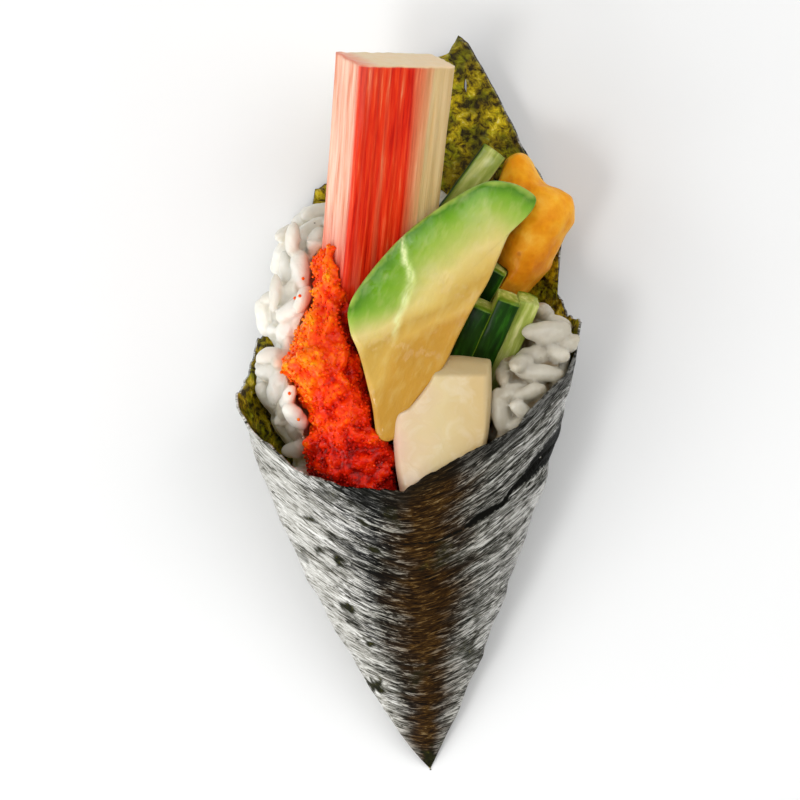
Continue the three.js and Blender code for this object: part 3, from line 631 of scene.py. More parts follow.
def egg_omelette():
    """Rolled omelette: soft, moist cooked egg, orange-yellow with a few browned specks, darker at its lower
    end as painted shade.
    """
    made, tree, shader = material(
        "rolled_omelette", IOR=1.4, Roughness=0.5, Specular_IOR_Level=0.12, Coat_Weight=0.08,
        Coat_Roughness=0.25, Subsurface_Weight=0.5, Subsurface_Radius=(1.0, 0.55, 0.15),
        Subsurface_Scale=0.0025,
    )
    place = (add(tree, "TexCoord"), "Object")
    curd = cloudy(tree, place, 5, Detail=4, Roughness=0.6)
    grit = cloudy(tree, place, 1.5, Detail=3)
    spots = add(tree, "TexVoronoi", {"Vector": place, "Scale": every(7)})
    egg = shades(tree, curd, [(0.3, "#dc8406"), (0.42, "#ea980e"), (0.56, "#f4ac24"), (0.72, "#fbc248")])
    seared = ranged(tree, spots, 0.05, 0.11, 0.75, 0.0)
    browned = mix(tree, seared, egg, "#a8420c")
    axes = add(tree, "SeparateXYZ", {"Vector": place})
    # Painted shade over the lower end of the piece, near the avocado.
    lower = ranged(tree, (axes, "Y"), 0.022, 0.04, 1.0, 0.0)
    colour = mix(tree, lower, browned, "#dcc8a8", blend_type="MULTIPLY")
    height = maths(tree, "MULTIPLY_ADD", curd, 1.5, grit)
    bump = add(tree, "Bump", {"Height": height, "Strength": 0.8, "Distance": 0.0003})
    wire(tree, shader, Base_Color=colour, Normal=bump)
    return made


def cream_paste():
    """Cream cheese: dense, smooth and matt, pinker towards the roe and yellower on the right, with painted
    shade on its back strip and right side.
    """
    made, tree, shader = material(
        "cream_cheese", IOR=1.42, Roughness=0.4, Coat_Weight=0.2, Coat_Roughness=0.25,
        Subsurface_Weight=0.3, Subsurface_Radius=(1.0, 0.8, 0.5), Subsurface_Scale=0.002,
    )
    place = (add(tree, "TexCoord"), "Object")
    axes = add(tree, "SeparateXYZ", {"Vector": place})
    cloud = cloudy(tree, place, 7, Detail=4)
    drift = maths(tree, "MULTIPLY_ADD", cloud, 0.012, (axes, "X"))
    band = ranged(tree, drift, 0.002, 0.02)
    paste = shades(tree, band, [(0.0, "#d6b29a"), (0.3, "#d4ba94"), (0.6, "#d3be8e"), (1.0, "#ceb27a")])
    swirl = cloudy(tree, place, 4, Detail=3, Distortion=1.0)
    flow = ranged(tree, swirl, 0.5, 0.7, 0.0, 0.3)
    pale = mix(tree, flow, paste, "#e4d8c0")
    # Painted shade on the strip that slopes away at the back and on the right side.
    strip = ranged(tree, (axes, "Y"), 0.0052, 0.006, 0.0, 0.7)
    edge = ranged(tree, (axes, "X"), 0.0148, 0.0156, 0.0, 0.6)
    outer = maths(tree, "MAXIMUM", strip, edge)
    colour = mix(tree, outer, pale, "#b8a276")
    bump = add(tree, "Bump", {"Height": swirl, "Strength": 0.5, "Distance": 0.0005})
    wire(tree, shader, Base_Color=colour, Normal=bump)
    return made


def table_top():
    """A pale matt table top."""
    made, tree, shader = material("pale_table_top", Roughness=0.9, Specular_IOR_Level=0.1)
    place = (add(tree, "TexCoord"), "Object")
    cloud = cloudy(tree, place, 120)
    paint = shades(tree, cloud, [(0.3, "#ececeb"), (0.7, "#f0f0ef")])
    wire(tree, shader, Base_Color=paint)
    return made


# ---- The nori cone ----


def half_width(y):
    return y * (FLARE - FLARE_LOSS * y) + TIP_ROUND * (1 - math.exp(-y / TIP_REACH))


def centre_x(y):
    return SIDE_DRIFT * (math.sqrt(DRIFT_START) - math.sqrt(y + DRIFT_START))


def soft_wrinkle(angle, y):
    height = DEPTH_RATIO * half_width(y) * (1 + math.sin(angle))
    rings = math.sin(0.55 * y + 1.6 * math.sin(angle + 0.4) + 0.8 * math.cos(3 * angle))
    folds = math.sin(5 * angle + 0.11 * y)
    return WRINKLE * smooth(height, 1, 9) * (0.45 * rings + 0.6 * folds)


def wall_point(angle, y, offset):
    """A point of the wall, at an angle round the cone and a distance from the tip."""
    across = half_width(y)
    up = DEPTH_RATIO * across
    z = up + (up + offset) * math.sin(angle) - FLAT_CUT * smooth(y, 0, 20)
    reach = max(0, y - FLAP_START) / FLAP_LENGTH
    return Vector((centre_x(y) + (across + offset) * math.cos(angle), y, max(z, 0) + FLAP_CURL * reach**2))


def rim():
    """The rim as angles round the cone with distances from the tip."""
    turned = []
    for line, side in ((BACK_RIM, -1), (FRONT_LIP, 1)):
        for x, y in line:
            cosine = min(1, max(-1, (x - centre_x(y)) / half_width(y)))
            turned.append((side * math.acos(cosine), y))
    return [*turned, (turned[0][0] + math.tau, turned[0][1])]


def rim_columns():
    """Angles and heights of the sheet's columns, at the rim's corners and evenly between them."""
    columns = []
    for (angle, height), (next_angle, next_height) in zip(rim(), rim()[1:]):
        steps = math.ceil((next_angle - angle) / math.radians(COLUMN_STEP))
        for k in range(steps):
            share = k / steps
            columns.append((angle + (next_angle - angle) * share, height + (next_height - height) * share))
    return [*columns, (columns[0][0] + math.tau, columns[0][1])]


def fallen(x, y):
    """How far up the sheet a point lies, counted along the creases, which fall towards the middle."""
    aside = math.hypot(x - centre_x(y), 4)
    return y - 0.3 * aside - 0.012 * aside**2


def tear_open(bm, seam):
    """Splits the sheet along a few edges and draws the two sides apart."""
    bmesh.ops.split_edges(bm, edges=seam)
    for vert in [v for v in bm.verts if v.is_boundary]:
        away = local(vert.co) - Vector((*TEAR, 0))
        if abs(away.x) < 1 and abs(away.y) < TEAR_REACH:
            side = sum(face.calc_center_median().x - vert.co.x for face in vert.link_faces)
            vert.co.x += math.copysign(0.3, side) * (1 - (away.y / TEAR_REACH) ** 2) / 1000


def ragged(angle, front):
    """How far the sheet's edge strays from its line at an angle; the back edge is rougher."""
    round_it = Vector((math.cos(angle), math.sin(angle), 0)) * 40
    stray = 0.45 * wobble(round_it, 2.2) + 0.15 * wobble(round_it, 0.5, 3)
    return stray + (0 if front else 0.4 * wobble(round_it, 1.1, 5))


def worn_off(spot):
    """How far the film is gone from a spot of the sheet, from 0 to 1."""
    bare = -1
    for a, b, length, width in WORN:
        off = Vector((spot.x - a, spot.y - b))
        bare = max(bare, 1.1 - math.hypot(off.dot(WORN_WAY) / length, off.cross(WORN_WAY) / width))
    return smooth(bare + 0.9 * wobble((spot.x * 0.6, spot.y, spot.z), 1.1, 9), 0, 0.5)


def fine_creases(spot, y):
    """Height of the fine creases, which die out at the tip and where the cone rests."""
    streaks = Vector((spot.x * 0.3, fallen(spot.x, spot.y), spot.z * 0.3))
    relief = 0.28 * wobble(streaks, 2.6) + 0.16 * wobble(streaks, 1.3, 5) + 0.12 * wobble(spot, 5, 2)
    share = smooth(spot.z, 0.3, 3) * smooth(y, 2, 14)
    return relief * share


def nori_sheet(outside, inside):
    """The sheet wound into a cone: a fine grid laid on the wall, with a real edge, crease and tear."""
    columns = rim_columns()
    bm = bmesh.new()
    bmesh.ops.create_grid(bm, x_segments=len(columns) - 1, y_segments=SHEET_ROWS, size=0.5)
    lay = bm.verts.layers.float_vector.new("lay")
    flank, worn, crease, below = (
        bm.verts.layers.float.new(name) for name in ("flank", "worn", "crease", "below")
    )
    wall = bm.verts.layers.deform.verify()
    crease_width = [(i, width) for i, (*_, width) in enumerate(CREASE)]
    torn = set()
    torn_angle = -math.acos((TEAR[0] - centre_x(TEAR[1])) / half_width(TEAR[1]))
    torn_column = min(columns, key=lambda column: abs(column[0] - torn_angle))
    for vert in bm.verts:
        angle, height = columns[round((vert.co.x + 0.5) * (len(columns) - 1))]
        share = vert.co.y + 0.5
        front = math.sin(angle) > 1e-6
        y = share * (height + ragged(angle, front) * smooth(height, 50, 60))
        spot = wall_point(angle, y, 0)
        edge, along, side = distance_to_line(spot.x, spot.y, CREASE)
        shown = smooth(math.sin(angle), -0.1, 0.1)
        reach = look_up(crease_width, along)
        fold = shown * math.exp(-((edge / (reach + 0.3)) ** 2)) * min(1, reach)
        lapped = 0.45 * shown * math.exp(-edge / 3) * (side > 0) * smooth(8 - along, 0, 4)
        offset = soft_wrinkle(angle, y) + fine_creases(spot, y) + lapped - 0.8 * fold - 0.2
        vert.co = mm(*wall_point(angle, y, offset))
        vert[lay] = Vector((spot.x, spot.z, fallen(spot.x, spot.y))) / 1000
        # flank steers the painted sheen; near the tip it is raised on the right.
        vert[flank] = math.cos(angle)
        vert[flank] += 0.22 * smooth(math.cos(angle), 0.4, 0.7) * (1 - smooth(y, 25, 45))
        vert[worn] = worn_off(spot) * front
        # crease masks the painted shade in the lapped crease; below masks the darker front lip, which stops
        # on the left flank.
        vert[crease] = min(1, edge / (4 * reach)) if shown else 1
        vert[below] = min(1, (1 - share) * height / 10 + smooth(-math.cos(angle), 0.3, 0.7)) if front else 1
        vert[wall][0] = max(0.04, smooth(y, 0.5, 9))
        if angle == torn_column[0] and abs(y - TEAR[1]) < TEAR_REACH:
            torn.add(vert)
    tear_open(bm, [edge for edge in bm.edges if torn.issuperset(edge.verts)])
    bmesh.ops.remove_doubles(bm, verts=bm.verts, dist=2e-6)
    bmesh.ops.recalc_face_normals(bm, faces=bm.faces)
    sheet = piece("nori_wrap_sheet", bm, [outside, inside], "nori", "nori_wrap")
    sheet.vertex_groups.new(name="wall")
    solid = sheet.modifiers.new("thickness", "SOLIDIFY")
    solid.thickness = SHEET / 1000
    solid.offset = -1
    solid.vertex_group = "wall"
    solid.thickness_vertex_group = 0.02
    solid.material_offset = 1
    solid.material_offset_rim = 0


# ---- Sticks ----


def pose(end, tilt, lean, roll):
    """The place of a stick whose length runs along Y: rolled, tilted up and leaned sideways."""
    turned = (
        Matrix.Rotation(math.radians(-lean), 4, "Z")
        @ Matrix.Rotation(math.radians(tilt), 4, "X")
        @ Matrix.Rotation(math.radians(roll), 4, "Y")
    )
    return Matrix.Translation(mm(*end)) @ turned @ Matrix.Scale(0.001, 4)


def block(width, length, depth, cuts):
    """A block in millimetres with its upper end at y = 0, sliced evenly across all three ways."""
    bm = bmesh.new()
    bmesh.ops.create_cube(bm, size=1)
    bmesh.ops.scale(bm, vec=(width, length, depth), verts=bm.verts)
    bmesh.ops.translate(bm, vec=(0, -length / 2, 0), verts=bm.verts)
    for axis, (count, size) in enumerate(zip(cuts, (width, length, depth))):
        for k in range(1, count):
            plane = Vector((0, -length / 2, 0))
            plane[axis] += size * (k / count - 0.5)
            across = Vector((axis == 0, axis == 1, axis == 2))
            bmesh.ops.bisect_plane(
                bm, geom=bm.verts[:] + bm.edges[:] + bm.faces[:], plane_co=plane, plane_no=across
            )
    return bm


def rounded(x, z, half_x, half_z, radius):
    """A point of a rectangle's section with the corners rounded."""
    over_x, over_z = abs(x) - (half_x - radius), abs(z) - (half_z - radius)
    if over_x <= 0 or over_z <= 0:
        return x, z
    reach = math.hypot(over_x, over_z)
    keep = min(1, radius / reach)
    return (
        math.copysign(half_x - radius + over_x * keep, x),
        math.copysign(half_z - radius + over_z * keep, z),
    )


def crab_stick(flesh):
    """A pressed block of fibres with grooves between the bundles and a cut end."""
    width, depth, length = CRAB["width"], CRAB["depth"], CRAB["length"]
    bm = block(width, length, depth, (64, 60, 24))
    grain = bm.verts.layers.float_vector.new("grain")
    for vert in bm.verts:
        x, y, z = vert.co
        vert[grain] = Vector((x, y, z)) / 1000
        along = (y + length) / length
        x, z = rounded(x, z, width / 2, depth / 2, CRAB["round"])
        strand = wobble((x, y * 0.02, z), 2.1) + 0.6 * wobble((x, y * 0.03, z), 1.0, 4)
        x += math.copysign(0.35, x) * strand * smooth(abs(x), width / 2 - 1.2, width / 2)
        z += math.copysign(0.3, z) * strand * smooth(abs(z), depth / 2 - 1.2, depth / 2)
        x *= 1 - 0.06 * math.sin(math.pi * along) + 0.012 * wobble((0, y, z), 9, 6)
        z *= 0.92 + 0.08 * along
        if vert.co.y > -0.01:
            y -= 0.25 * (1 + wobble((x, 0, z), 1.6, 8)) + 0.004 * z * z
        vert.co = (x, y + CRAB_END_SLOPE * x * along, z)
    bmesh.ops.transform(bm, matrix=pose(CRAB_TOP, CRAB["tilt"], CRAB["lean"], CRAB["roll"]), verts=bm.verts)
    piece("crab_stick_body", bm, [flesh], "crab", "crab_stick")


def cucumber_stick(number, stick, flesh):
    """A cut stick with three flat wet sides and one bowed side with the skin."""
    width, depth, length = stick["width"], stick["depth"], stick["length"]
    bm = block(width, length, depth, (28, 40, 28))
    grain = bm.verts.layers.float_vector.new("grain")
    peel = bm.verts.layers.float.new("peel")
    for vert in bm.verts:
        x, y, z = vert.co
        vert[grain] = (Vector((x, y, z)) + Vector((number * 20, 0, 0))) / 1000
        vert[peel] = 0.5 + z / depth - 0.2 * smooth(abs(x), width / 2 - 0.45, width / 2)
        x, z = rounded(x, z, width / 2, depth / 2, 0.3)
        bow = -0.45 * (2 * x / width) ** 4 * (0.5 + z / depth)
        swell = 0.12 * wobble((x, y, z), 3, number)
        if y > -0.01:
            y -= 0.25 * smooth(math.hypot(x / width, z / depth), 0.3, 0.7)
            y += stick.get("slant", 0) * x
        vert.co = (x + swell, y, z + bow + swell)
    place = pose(stick["end"], stick["tilt"], stick["lean"], stick["roll"])
    bmesh.ops.transform(bm, matrix=place, verts=bm.verts)
    name = f"cucumber_stick_{number}"
    piece(name + "_cut", bm, [flesh], "cucumber", name)


# ---- Soft pieces ----


def cut_section(share, flat, side):
    """How far out and up a soft piece reaches, from the middle of a flat face (0) to its side (1)."""
    if share < 0.6:
        return flat * share / 0.6, 1
    if share > 0.85:
        return 1, side * (1 - share) / 0.15
    turn = (share - 0.6) / 0.25 * math.pi / 2
    return flat + (1 - flat) * math.sin(turn), side + (1 - side) * math.cos(turn)


def cushion(outline, top, bottom, columns, rows, flat=0.93, side=0.78):
    """A ball spread out to a plan outline and up to two flat faces; flat and side say how round it is."""
    bm = bmesh.new()
    bmesh.ops.create_uvsphere(bm, u_segments=columns, v_segments=rows, radius=1)
    edge = curve_points(outline, columns)
    centre = sum((Vector(corner) for corner in outline), Vector((0, 0))) / len(outline)
    for vert in bm.verts:
        x, y, z = vert.co
        column = round(math.atan2(y, x) / math.tau * columns) % columns
        spread, rise = cut_section(1 - abs(math.asin(min(1, max(-1, z)))) / (math.pi / 2), flat, side)
        plan = centre.lerp(edge[column], spread)
        high, low = top(*plan), bottom(*plan)
        vert.co = (plan.x, plan.y, (high + low) / 2 + math.copysign(rise, z) * (high - low) / 2)
    return bm


def avocado_arch(x, y):
    return 34.8 - 0.1 * x - 0.0028 * (y - 96) ** 2


def beyond_ridge(x, y):
    """How far right of the ridge a point of the avocado's cut face is."""
    return x - look_up(AVOCADO_RIDGE, y) + 0.5 * wobble((0, y, 0), 3, 4)


def avocado_top(x, y):
    """The cut face: arched, with the right half standing higher along a ridge."""
    fade = smooth(y, 84, 97) * (1 - smooth(y, 107, 113))
    aside = beyond_ridge(x, y)
    step = 1.4 * fade * (1 - smooth(aside, -1.4, 0.2)) - 0.3 * fade * math.exp(-((aside / 0.6) ** 2))
    return avocado_arch(x, y) - step + 0.25 * wobble((x, y, 0), 5, 1) + 0.12 * wobble((x, y, 0), 1.8, 3)


def avocado_slice(flesh):
    """A long slice; each vertex knows how far it is from the side where the skin was."""
    bm = cushion(
        AVOCADO_OUTLINE, avocado_top, lambda x, y: avocado_arch(x, y) - 8.5, columns=180, rows=80
    )
    depth = bm.verts.layers.float.new("depth")
    ridge = bm.verts.layers.float.new("ridge")
    for vert in bm.verts:
        x, y, _ = vert.co
        aside = beyond_ridge(x, y)
        away = distance_to_line(x, y, AVOCADO_OUTLINE[:8])[0] * (0.68 + 0.32 * smooth(aside, -3, 1))
        vert[depth] = (away + 16 * (1 - smooth(y, 82, 95))) / 1000
        # ridge masks the painted highlight along the ridge.
        middle = smooth(y, 84, 93) * (1 - smooth(y, 109, 115))
        vert[ridge] = math.exp(-(((aside + 0.5) / 0.7) ** 2)) * middle
        vert.co = mm(*vert.co)
    piece("avocado_slice_flesh", bm, [flesh], "avocado", "avocado_slice")


def cream_top(x, y):
    """One flat cut face, with a narrow strip sloping away at the back."""
    face = CREAM_TOP - 0.008 * (x - 1) ** 2 - 0.1 * max(0, 62 - y)
    swell = 0.3 * wobble((x, y, 0), 8, 2) + 0.1 * wobble((x, y, 0), 3, 5)
    return face - 0.9 * max(0, y - CREAM_STRIP) + swell


def cream_piece(paste):
    bm = cushion(CREAM_OUTLINE, cream_top, lambda x, y: 18, columns=140, rows=64, flat=0.88, side=0.66)
    for vert in bm.verts:
        vert.co = mm(*vert.co)
    piece("cream_cheese_piece", bm, [paste], "cream", "cream_cheese")


def omelette(egg):
    """Soft cooked egg with gentle swells."""
    bm = fused(merged("omelette_piece"), 0.4, 14)
    push(bm, lambda p, n: 0.3 * wobble(p, 6, 1) + 0.14 * wobble(p, 2.2, 2) + 0.2)
    piece("omelette_fold", bm, [egg], "omelette", "omelette_piece")


# ---- Rice and roe ----


def solid_tree(*nodes):
    """A search tree over CAD nodes."""
    bm = bmesh.new()
    for node in nodes:
        bm.from_mesh(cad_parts[node].data)
    tree = BVHTree.FromBMesh(bm)
    bm.free()
    return tree


def clearance(tree, point):
    """Distance from a point to the nearest solid, below zero inside it."""
    spot, normal, _, away = tree.find_nearest(point)
    return math.copysign(away, (point - spot).dot(normal))


def exposed(tree, point, normal):
    """True where light from some side reaches a spot."""
    start = point + normal * 0.0006
    for way in ((0, 0, 1), (-0.7, 0, 0.7), (0.7, 0, 0.7), (0, 0.9, 0.4), (-1, 0.2, 0), (-0.6, 0.8, 0)):
        if normal.dot(Vector(way)) > -0.1 and tree.ray_cast(start, Vector(way))[0] is None:
            return True
    return tree.ray_cast(start, normal)[0] is None


def spread_spots(bm, spacing, tries, seed, allowed):
    """Seeded spots on a mesh, no two closer than the spacing in millimetres."""
    chance = random.Random(seed)
    faces = [face for face in bm.faces if allowed(face.calc_center_median(), face.normal)]
    areas = [face.calc_area() for face in faces]
    cell = spacing / 1000
    taken = {}
    spots = []
    for face in chance.choices(faces, areas, k=tries):
        corners = [v.co for v in face.verts]
        a, b, c = corners[0], *chance.sample(corners[1:], 2)
        s, t = chance.random(), chance.random()
        if s + t > 1:
            s, t = 1 - s, 1 - t
        point = a + (b - a) * s + (c - a) * t
        key = tuple(math.floor(value / cell) for value in point)
        near = [
            other
            for i in (-1, 0, 1)
            for j in (-1, 0, 1)
            for k in (-1, 0, 1)
            for other in taken.get((key[0] + i, key[1] + j, key[2] + k), ())
        ]
        if any((other - point).length < cell for other in near):
            continue
        taken.setdefault(key, []).append(point)
        spots.append((point, face.normal.copy()))
    return spots


def open_spots(bm, node, spacing, tries, seed):
    """Spots on the core of a heap that the other nodes leave open to the light."""
    others = solid_tree(*[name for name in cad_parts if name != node])
    return spread_spots(bm, spacing, tries, seed, lambda p, n: exposed(others, p, n))


def lying(middle, long_way, up):
    """The place of a grain, with its length along Y and its flatter side up."""
    long_way = (long_way - up * long_way.dot(up) * 0.7).normalized()
    side = long_way.cross(up).normalized()
    place = Matrix((side, long_way, side.cross(long_way))).transposed().to_4x4()
    place.translation = middle
    return place


def add_grain(bm, place, length, width, taper, bend, tint, tint_layer):
    """One grain of rice, a little bent and uneven; taper is below zero for a pointed one."""
    made = bmesh.ops.create_uvsphere(bm, u_segments=14, v_segments=10, radius=0.5)["verts"]
    turn = Matrix.Rotation(math.pi / 2, 3, "X")
    for vert in made:
        x, y, z = turn @ vert.co
        stout = (1 + 0.2 * y) * (1 + taper * (2 * y) ** 2 * (1 - (2 * y) ** 4)) * width
        x, z = x * stout, z * stout * GRAIN["height"] / GRAIN["width"]
        x += bend * (1 - (2 * y) ** 2)
        spot = place @ (Vector((x, y * length, z)) / 1000)
        dent = 1.05 + 0.22 * wobble(local(spot), 1.7, 12) + 0.1 * wobble(local(spot), 0.9, 3)
        vert.co = place @ (Vector((x * dent, y * length, z * dent)) / 1000)
        vert[tint_layer] = tint - 0.14 * (2 * y) ** 2


def room(trees, place, length, width):
    """True where a grain stays clear of what the trees hold; its narrow ends need less room."""
    half = place.col[1].to_3d() * length * 0.42 / 1000
    middle = place.translation
    return all(
        clearance(tree, middle) > 0.4 * width / 1000
        and min(clearance(tree, middle + half), clearance(tree, middle - half)) > 0.25 * width / 1000
        for tree in trees
    )


def top_grains(bm, layer, beds, trees):
    """Lays the grains that show on top, each as low as what is around it allows; returns where they lie."""
    chance = random.Random(4)
    laid = []
    tries = [(inward, lift) for inward in (0, 0.7, 1.4, 2.1) for lift in (0.3, 0.8, 1.3, 1.8)]
    for x, y, length, width, degrees, white in TOP_GRAINS:
        turn = math.radians(degrees)
        ahead = Vector((math.cos(turn), math.sin(turn), 0))
        taper = chance.uniform(-0.2, 0.2) if x > CROSSWISE else chance.uniform(-0.1, 0.35)
        for inward, lift in tries:
            above = mm(x - math.copysign(inward, x), y, 60)
            under = [hit for hit in (bed.ray_cast(above, Vector((0, 0, -1))) for bed in beds) if hit[0]]
            if not under:
                continue
            spot, normal = under[0][:2]
            up = normal.lerp(Vector((0, 0, 1)), 0.4).normalized()
            place = lying(spot + Vector((0, 0, lift / 1000)), ahead, up)
            if room(trees, place, length, width):
                add_grain(bm, place, length, width, taper, chance.uniform(-0.4, 0.4), white, layer)
                laid.append(place.translation)
                break
    return laid


def loose_grains(bm, layer, spots, laid, trees):
    """Lays grains every way on the spots that those on top leave free; on the right, mostly crosswise."""
    chance = random.Random(11)
    for point, normal in spots:
        if any((point - other).length < TOP_SPACING / 1000 for other in laid):
            continue
        right = local(point).x > CROSSWISE
        for attempt in range(6):
            across = normal.cross((0, 1, 0)).cross(normal) if right else normal.orthogonal()
            across.normalize()
            turn = chance.gauss(math.pi / 2, 0.45) if right else chance.uniform(0, math.tau)
            across.rotate(Matrix.Rotation(turn, 3, normal))
            length = GRAIN["length"] * chance.uniform(0.84, 1.1) * (1.15 if right else 1)
            length *= 1 - 0.06 * attempt
            width = GRAIN["width"] * chance.uniform(0.9, 1.1) * (1 - 0.03 * attempt)
            sunk = chance.uniform(0.4, 1.2)
            middle = point + normal * (0.4 * width + 0.5 - sunk) / 1000
            place = lying(middle, (across + normal * chance.gauss(0, 0.15)).normalized(), normal)
            if room(trees, place, length, width):
                taper = chance.uniform(-0.2, 0.2) if right else chance.uniform(-0.1, 0.35)
                shade = chance.uniform(0.35, 0.6) if right else chance.uniform(0.8, 1)
                add_grain(bm, place, length, width, taper, chance.uniform(-0.5, 0.5), shade, layer)
                break


def rice_heap(starch, trees, roe):
    """Grains over a core of packed ones, all in one skin; returns a search tree over the grains."""
    core = fused(merged("rice"), 0.9, 3)
    push(core, lambda p, n: 0.35 * wobble(p, 2.4, 1) - 0.9 - 0.5 * smooth(p.x, CROSSWISE, 10))
    grains = bmesh.new()
    layer = grains.verts.layers.float.new("tint")
    laid = top_grains(grains, layer, [BVHTree.FromBMesh(core), solid_tree("rice")], trees)
    loose_grains(grains, layer, open_spots(core, "rice", GRAIN_SPACING, 30000, 7), laid, trees)
    bed = BVHTree.FromBMesh(grains)
    tints = [face.verts[0][layer] for face in grains.faces]
    mesh = bpy.data.meshes.new("packed")
    core.to_mesh(mesh)
    core.free()
    grains.from_mesh(mesh)
    bpy.data.meshes.remove(mesh)
    heap = fused(grains, RICE_GRID, 1, RICE_KEEP)
    tint = heap.verts.layers.float.new("tint")
    stain = heap.verts.layers.float.new("stain")
    for vert in heap.verts:
        index, away = bed.find_nearest(vert.co)[2:]
        # Away from the grains' own surfaces, in the gaps between them, the tint falls to a painted shade:
        # brown on the right, greyer on the left.
        deep = 0 if local(vert.co).x > CROSSWISE else 0.6
        vert[tint] = tints[index] + (deep - tints[index]) * smooth(away * 1000, 0.2, 0.7)
        vert[stain] = 0.7 * (1 - smooth(clearance(roe, vert.co) * 1000, 0.2, 3.4))
    piece("rice_grains", heap, [starch], "rice", "rice")
    return bed


def add_egg(bm, middle, size, shade, layer):
    place = Matrix.Translation(middle) @ Matrix.Rotation(middle.x * 9000, 4, "X")
    made = bmesh.ops.create_icosphere(bm, subdivisions=1, radius=size / 2000, matrix=place)["verts"]
    for vert in made:
        vert[layer] = min(1, max(0, shade))


def clump(p):
    """Height of the clumps of roe, in millimetres."""
    return 1.3 * wobble(p, 4.6, 3) + 1.1 * wobble(p, 2.3, 4) + 0.5 * wobble(p, 1.2, 8)


def roe_tone_and_painted_light(p):
    """How far the roe at a place is from deep red (0) to orange (1), before it is cut off at both; the
    clumps' tops get painted light, their hollows and the roe by the front lip painted shade.
    """
    warm = smooth(-p.x, 14, 26) * smooth(p.y, 62, 76)
    low = 1 - smooth(p.y, 56, 70)
    return 0.27 + 0.34 * warm - 0.3 * low + 0.26 * clump(p)


def roe_heap(skin, blockers, bed):
    """Wet clumps of packed eggs with loose ones on top, and a few stray ones on the rice beside it."""
    core = fused(merged("roe"), ROE_GRID, 8)
    push(core, lambda p, n: clump(p) - 0.3)
    tint = core.verts.layers.float.new("tint")
    chance = random.Random(5)
    for vert in core.verts:
        vert[tint] = min(1, max(0, roe_tone_and_painted_light(local(vert.co))))
    spots = open_spots(core, "roe", EGG_SPACING, 40000, 3)
    eggs = bmesh.new()
    layer = eggs.verts.layers.float.new("tint")
    for point, normal in spots:
        middle = point + normal * chance.uniform(0.08, 0.3) / 1000
        if clearance(blockers, middle) > 0.0003 and chance.random() < 0.6:
            shade = roe_tone_and_painted_light(local(middle)) + chance.gauss(0, 0.06)
            add_egg(eggs, middle, EGG * chance.uniform(0.85, 1.15), shade, layer)
    for x, y in STRAY_EGGS:
        spot = bed.ray_cast(mm(x, y, 60), Vector((0, 0, -1)))[0]
        if spot:
            add_egg(eggs, spot + Vector((0, 0, 0.0002)), EGG * 1.1, 0.6, layer)
    piece("roe_core", core, [skin], "roe", "roe")
    piece("roe_eggs", eggs, [skin], "roe", "roe")


# ---- Putting the roll together ----

nori_sheet(nori_outside(), nori_inside())
crab_stick(crab_flesh())
avocado_slice(avocado_flesh())
cream_piece(cream_paste())
cucumber = cucumber_flesh()
for number, stick in enumerate(CUCUMBERS, 1):
    cucumber_stick(number, stick, cucumber)
omelette(egg_omelette())

toppings = [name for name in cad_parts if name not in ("nori_wrap", "rice", "roe")]
around = [solid_tree(*toppings), solid_tree("roe"), solid_tree("nori_wrap")]
bed = rice_heap(cooked_rice(), around, solid_tree("roe"))
roe_heap(roe_skin(), solid_tree("nori_wrap", *toppings), bed)

# ---- Table, light and camera ----


def soft_panel(name, place, size, power, aim):
    lamp = bpy.data.lights.new(name, "AREA")
    lamp.shape = "RECTANGLE"
    lamp.size, lamp.size_y = size
    lamp.energy = power
    made = bpy.data.objects.new(name, lamp)
    made.location = place
    made.rotation_euler = (Vector(aim) - Vector(place)).to_track_quat("-Z", "Y").to_euler()
    bpy.context.scene.collection.objects.link(made)


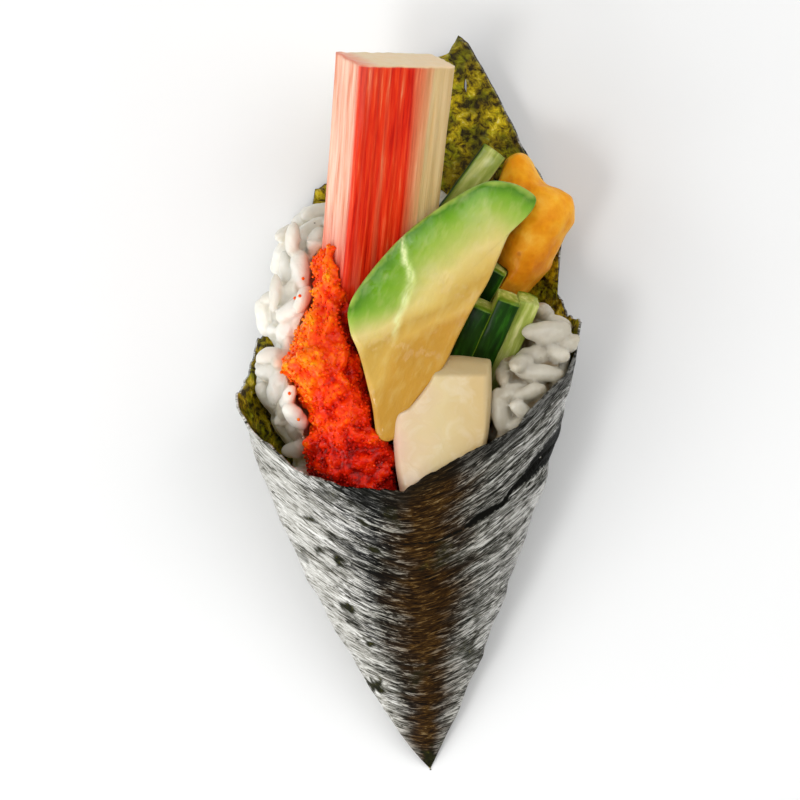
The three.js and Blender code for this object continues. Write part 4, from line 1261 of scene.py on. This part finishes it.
bm = bmesh.new()
bmesh.ops.create_grid(bm, x_segments=1, y_segments=1, size=2)
mesh = bpy.data.meshes.new("table")
bm.to_mesh(mesh)
bm.free()
mesh.materials.append(table_top())
table = bpy.data.objects.new("table", mesh)
bpy.context.scene.collection.objects.link(table)

soft_panel("front_left_panel", (-0.64, -0.64, 0.42), (0.9, 0.6), 6.2, (0, 0, 0))
soft_panel("left_panel", (-0.75, 0.25, 0.6), (0.7, 1.0), 2.1, (0, 0, 0))
soft_panel("right_panel", (0.8, 0.3, 0.6), (0.8, 1.0), 3.8, (0, 0, 0))
soft_panel("front_right_panel", (0.7, -0.6, 0.3), (0.6, 0.4), 1, (0, 0, 0))
soft_panel("top_panel", (0.2, 0.5, 1.2), (1.2, 1.0), 6.6, (0, 0, 0))
soft_panel("small_bright_panel", (-0.4, -0.3, 0.9), (0.24, 0.24), 2.6, (0, 0, 0))

# The room is pale all round, dimmer straight above and dark beyond the tip and to the right of it.
world = bpy.data.worlds.new("studio")
bpy.context.scene.world = world
world.use_nodes = True
sky = world.node_tree
way = (add(sky, "TexCoord"), "Generated")
axes = add(sky, "SeparateXYZ", {"Vector": way})
tent = add(
    sky, "ValToRGB", {"Fac": (axes, "Z")},
    [(0.0, "#e8eaee"), (0.5, "#f4f6fa"), (0.85, "#b8babe"), (0.95, "#4c4c4c")],
)
beyond = add(sky, "VectorMath", [way, (-0.5, 0.87, 0)], operation="DOT_PRODUCT")
strength = add(sky, "MapRange", [(beyond, "Value"), -0.95, -0.6, 0.04, 0.32])
sky.links.new(tent.outputs["Color"], sky.nodes["Background"].inputs["Color"])
sky.links.new(strength.outputs["Result"], sky.nodes["Background"].inputs["Strength"])

camera_data = bpy.data.cameras.new("camera")
camera_data.lens = 400
camera_data.sensor_width = 36
camera = bpy.data.objects.new("camera", camera_data)
camera.location = (-0.00155, 0.0007, 0.02 + 0.16 * camera_data.lens / camera_data.sensor_width)
bpy.context.scene.collection.objects.link(camera)
bpy.context.scene.camera = camera
bpy.context.scene.view_settings.view_transform = "Standard"
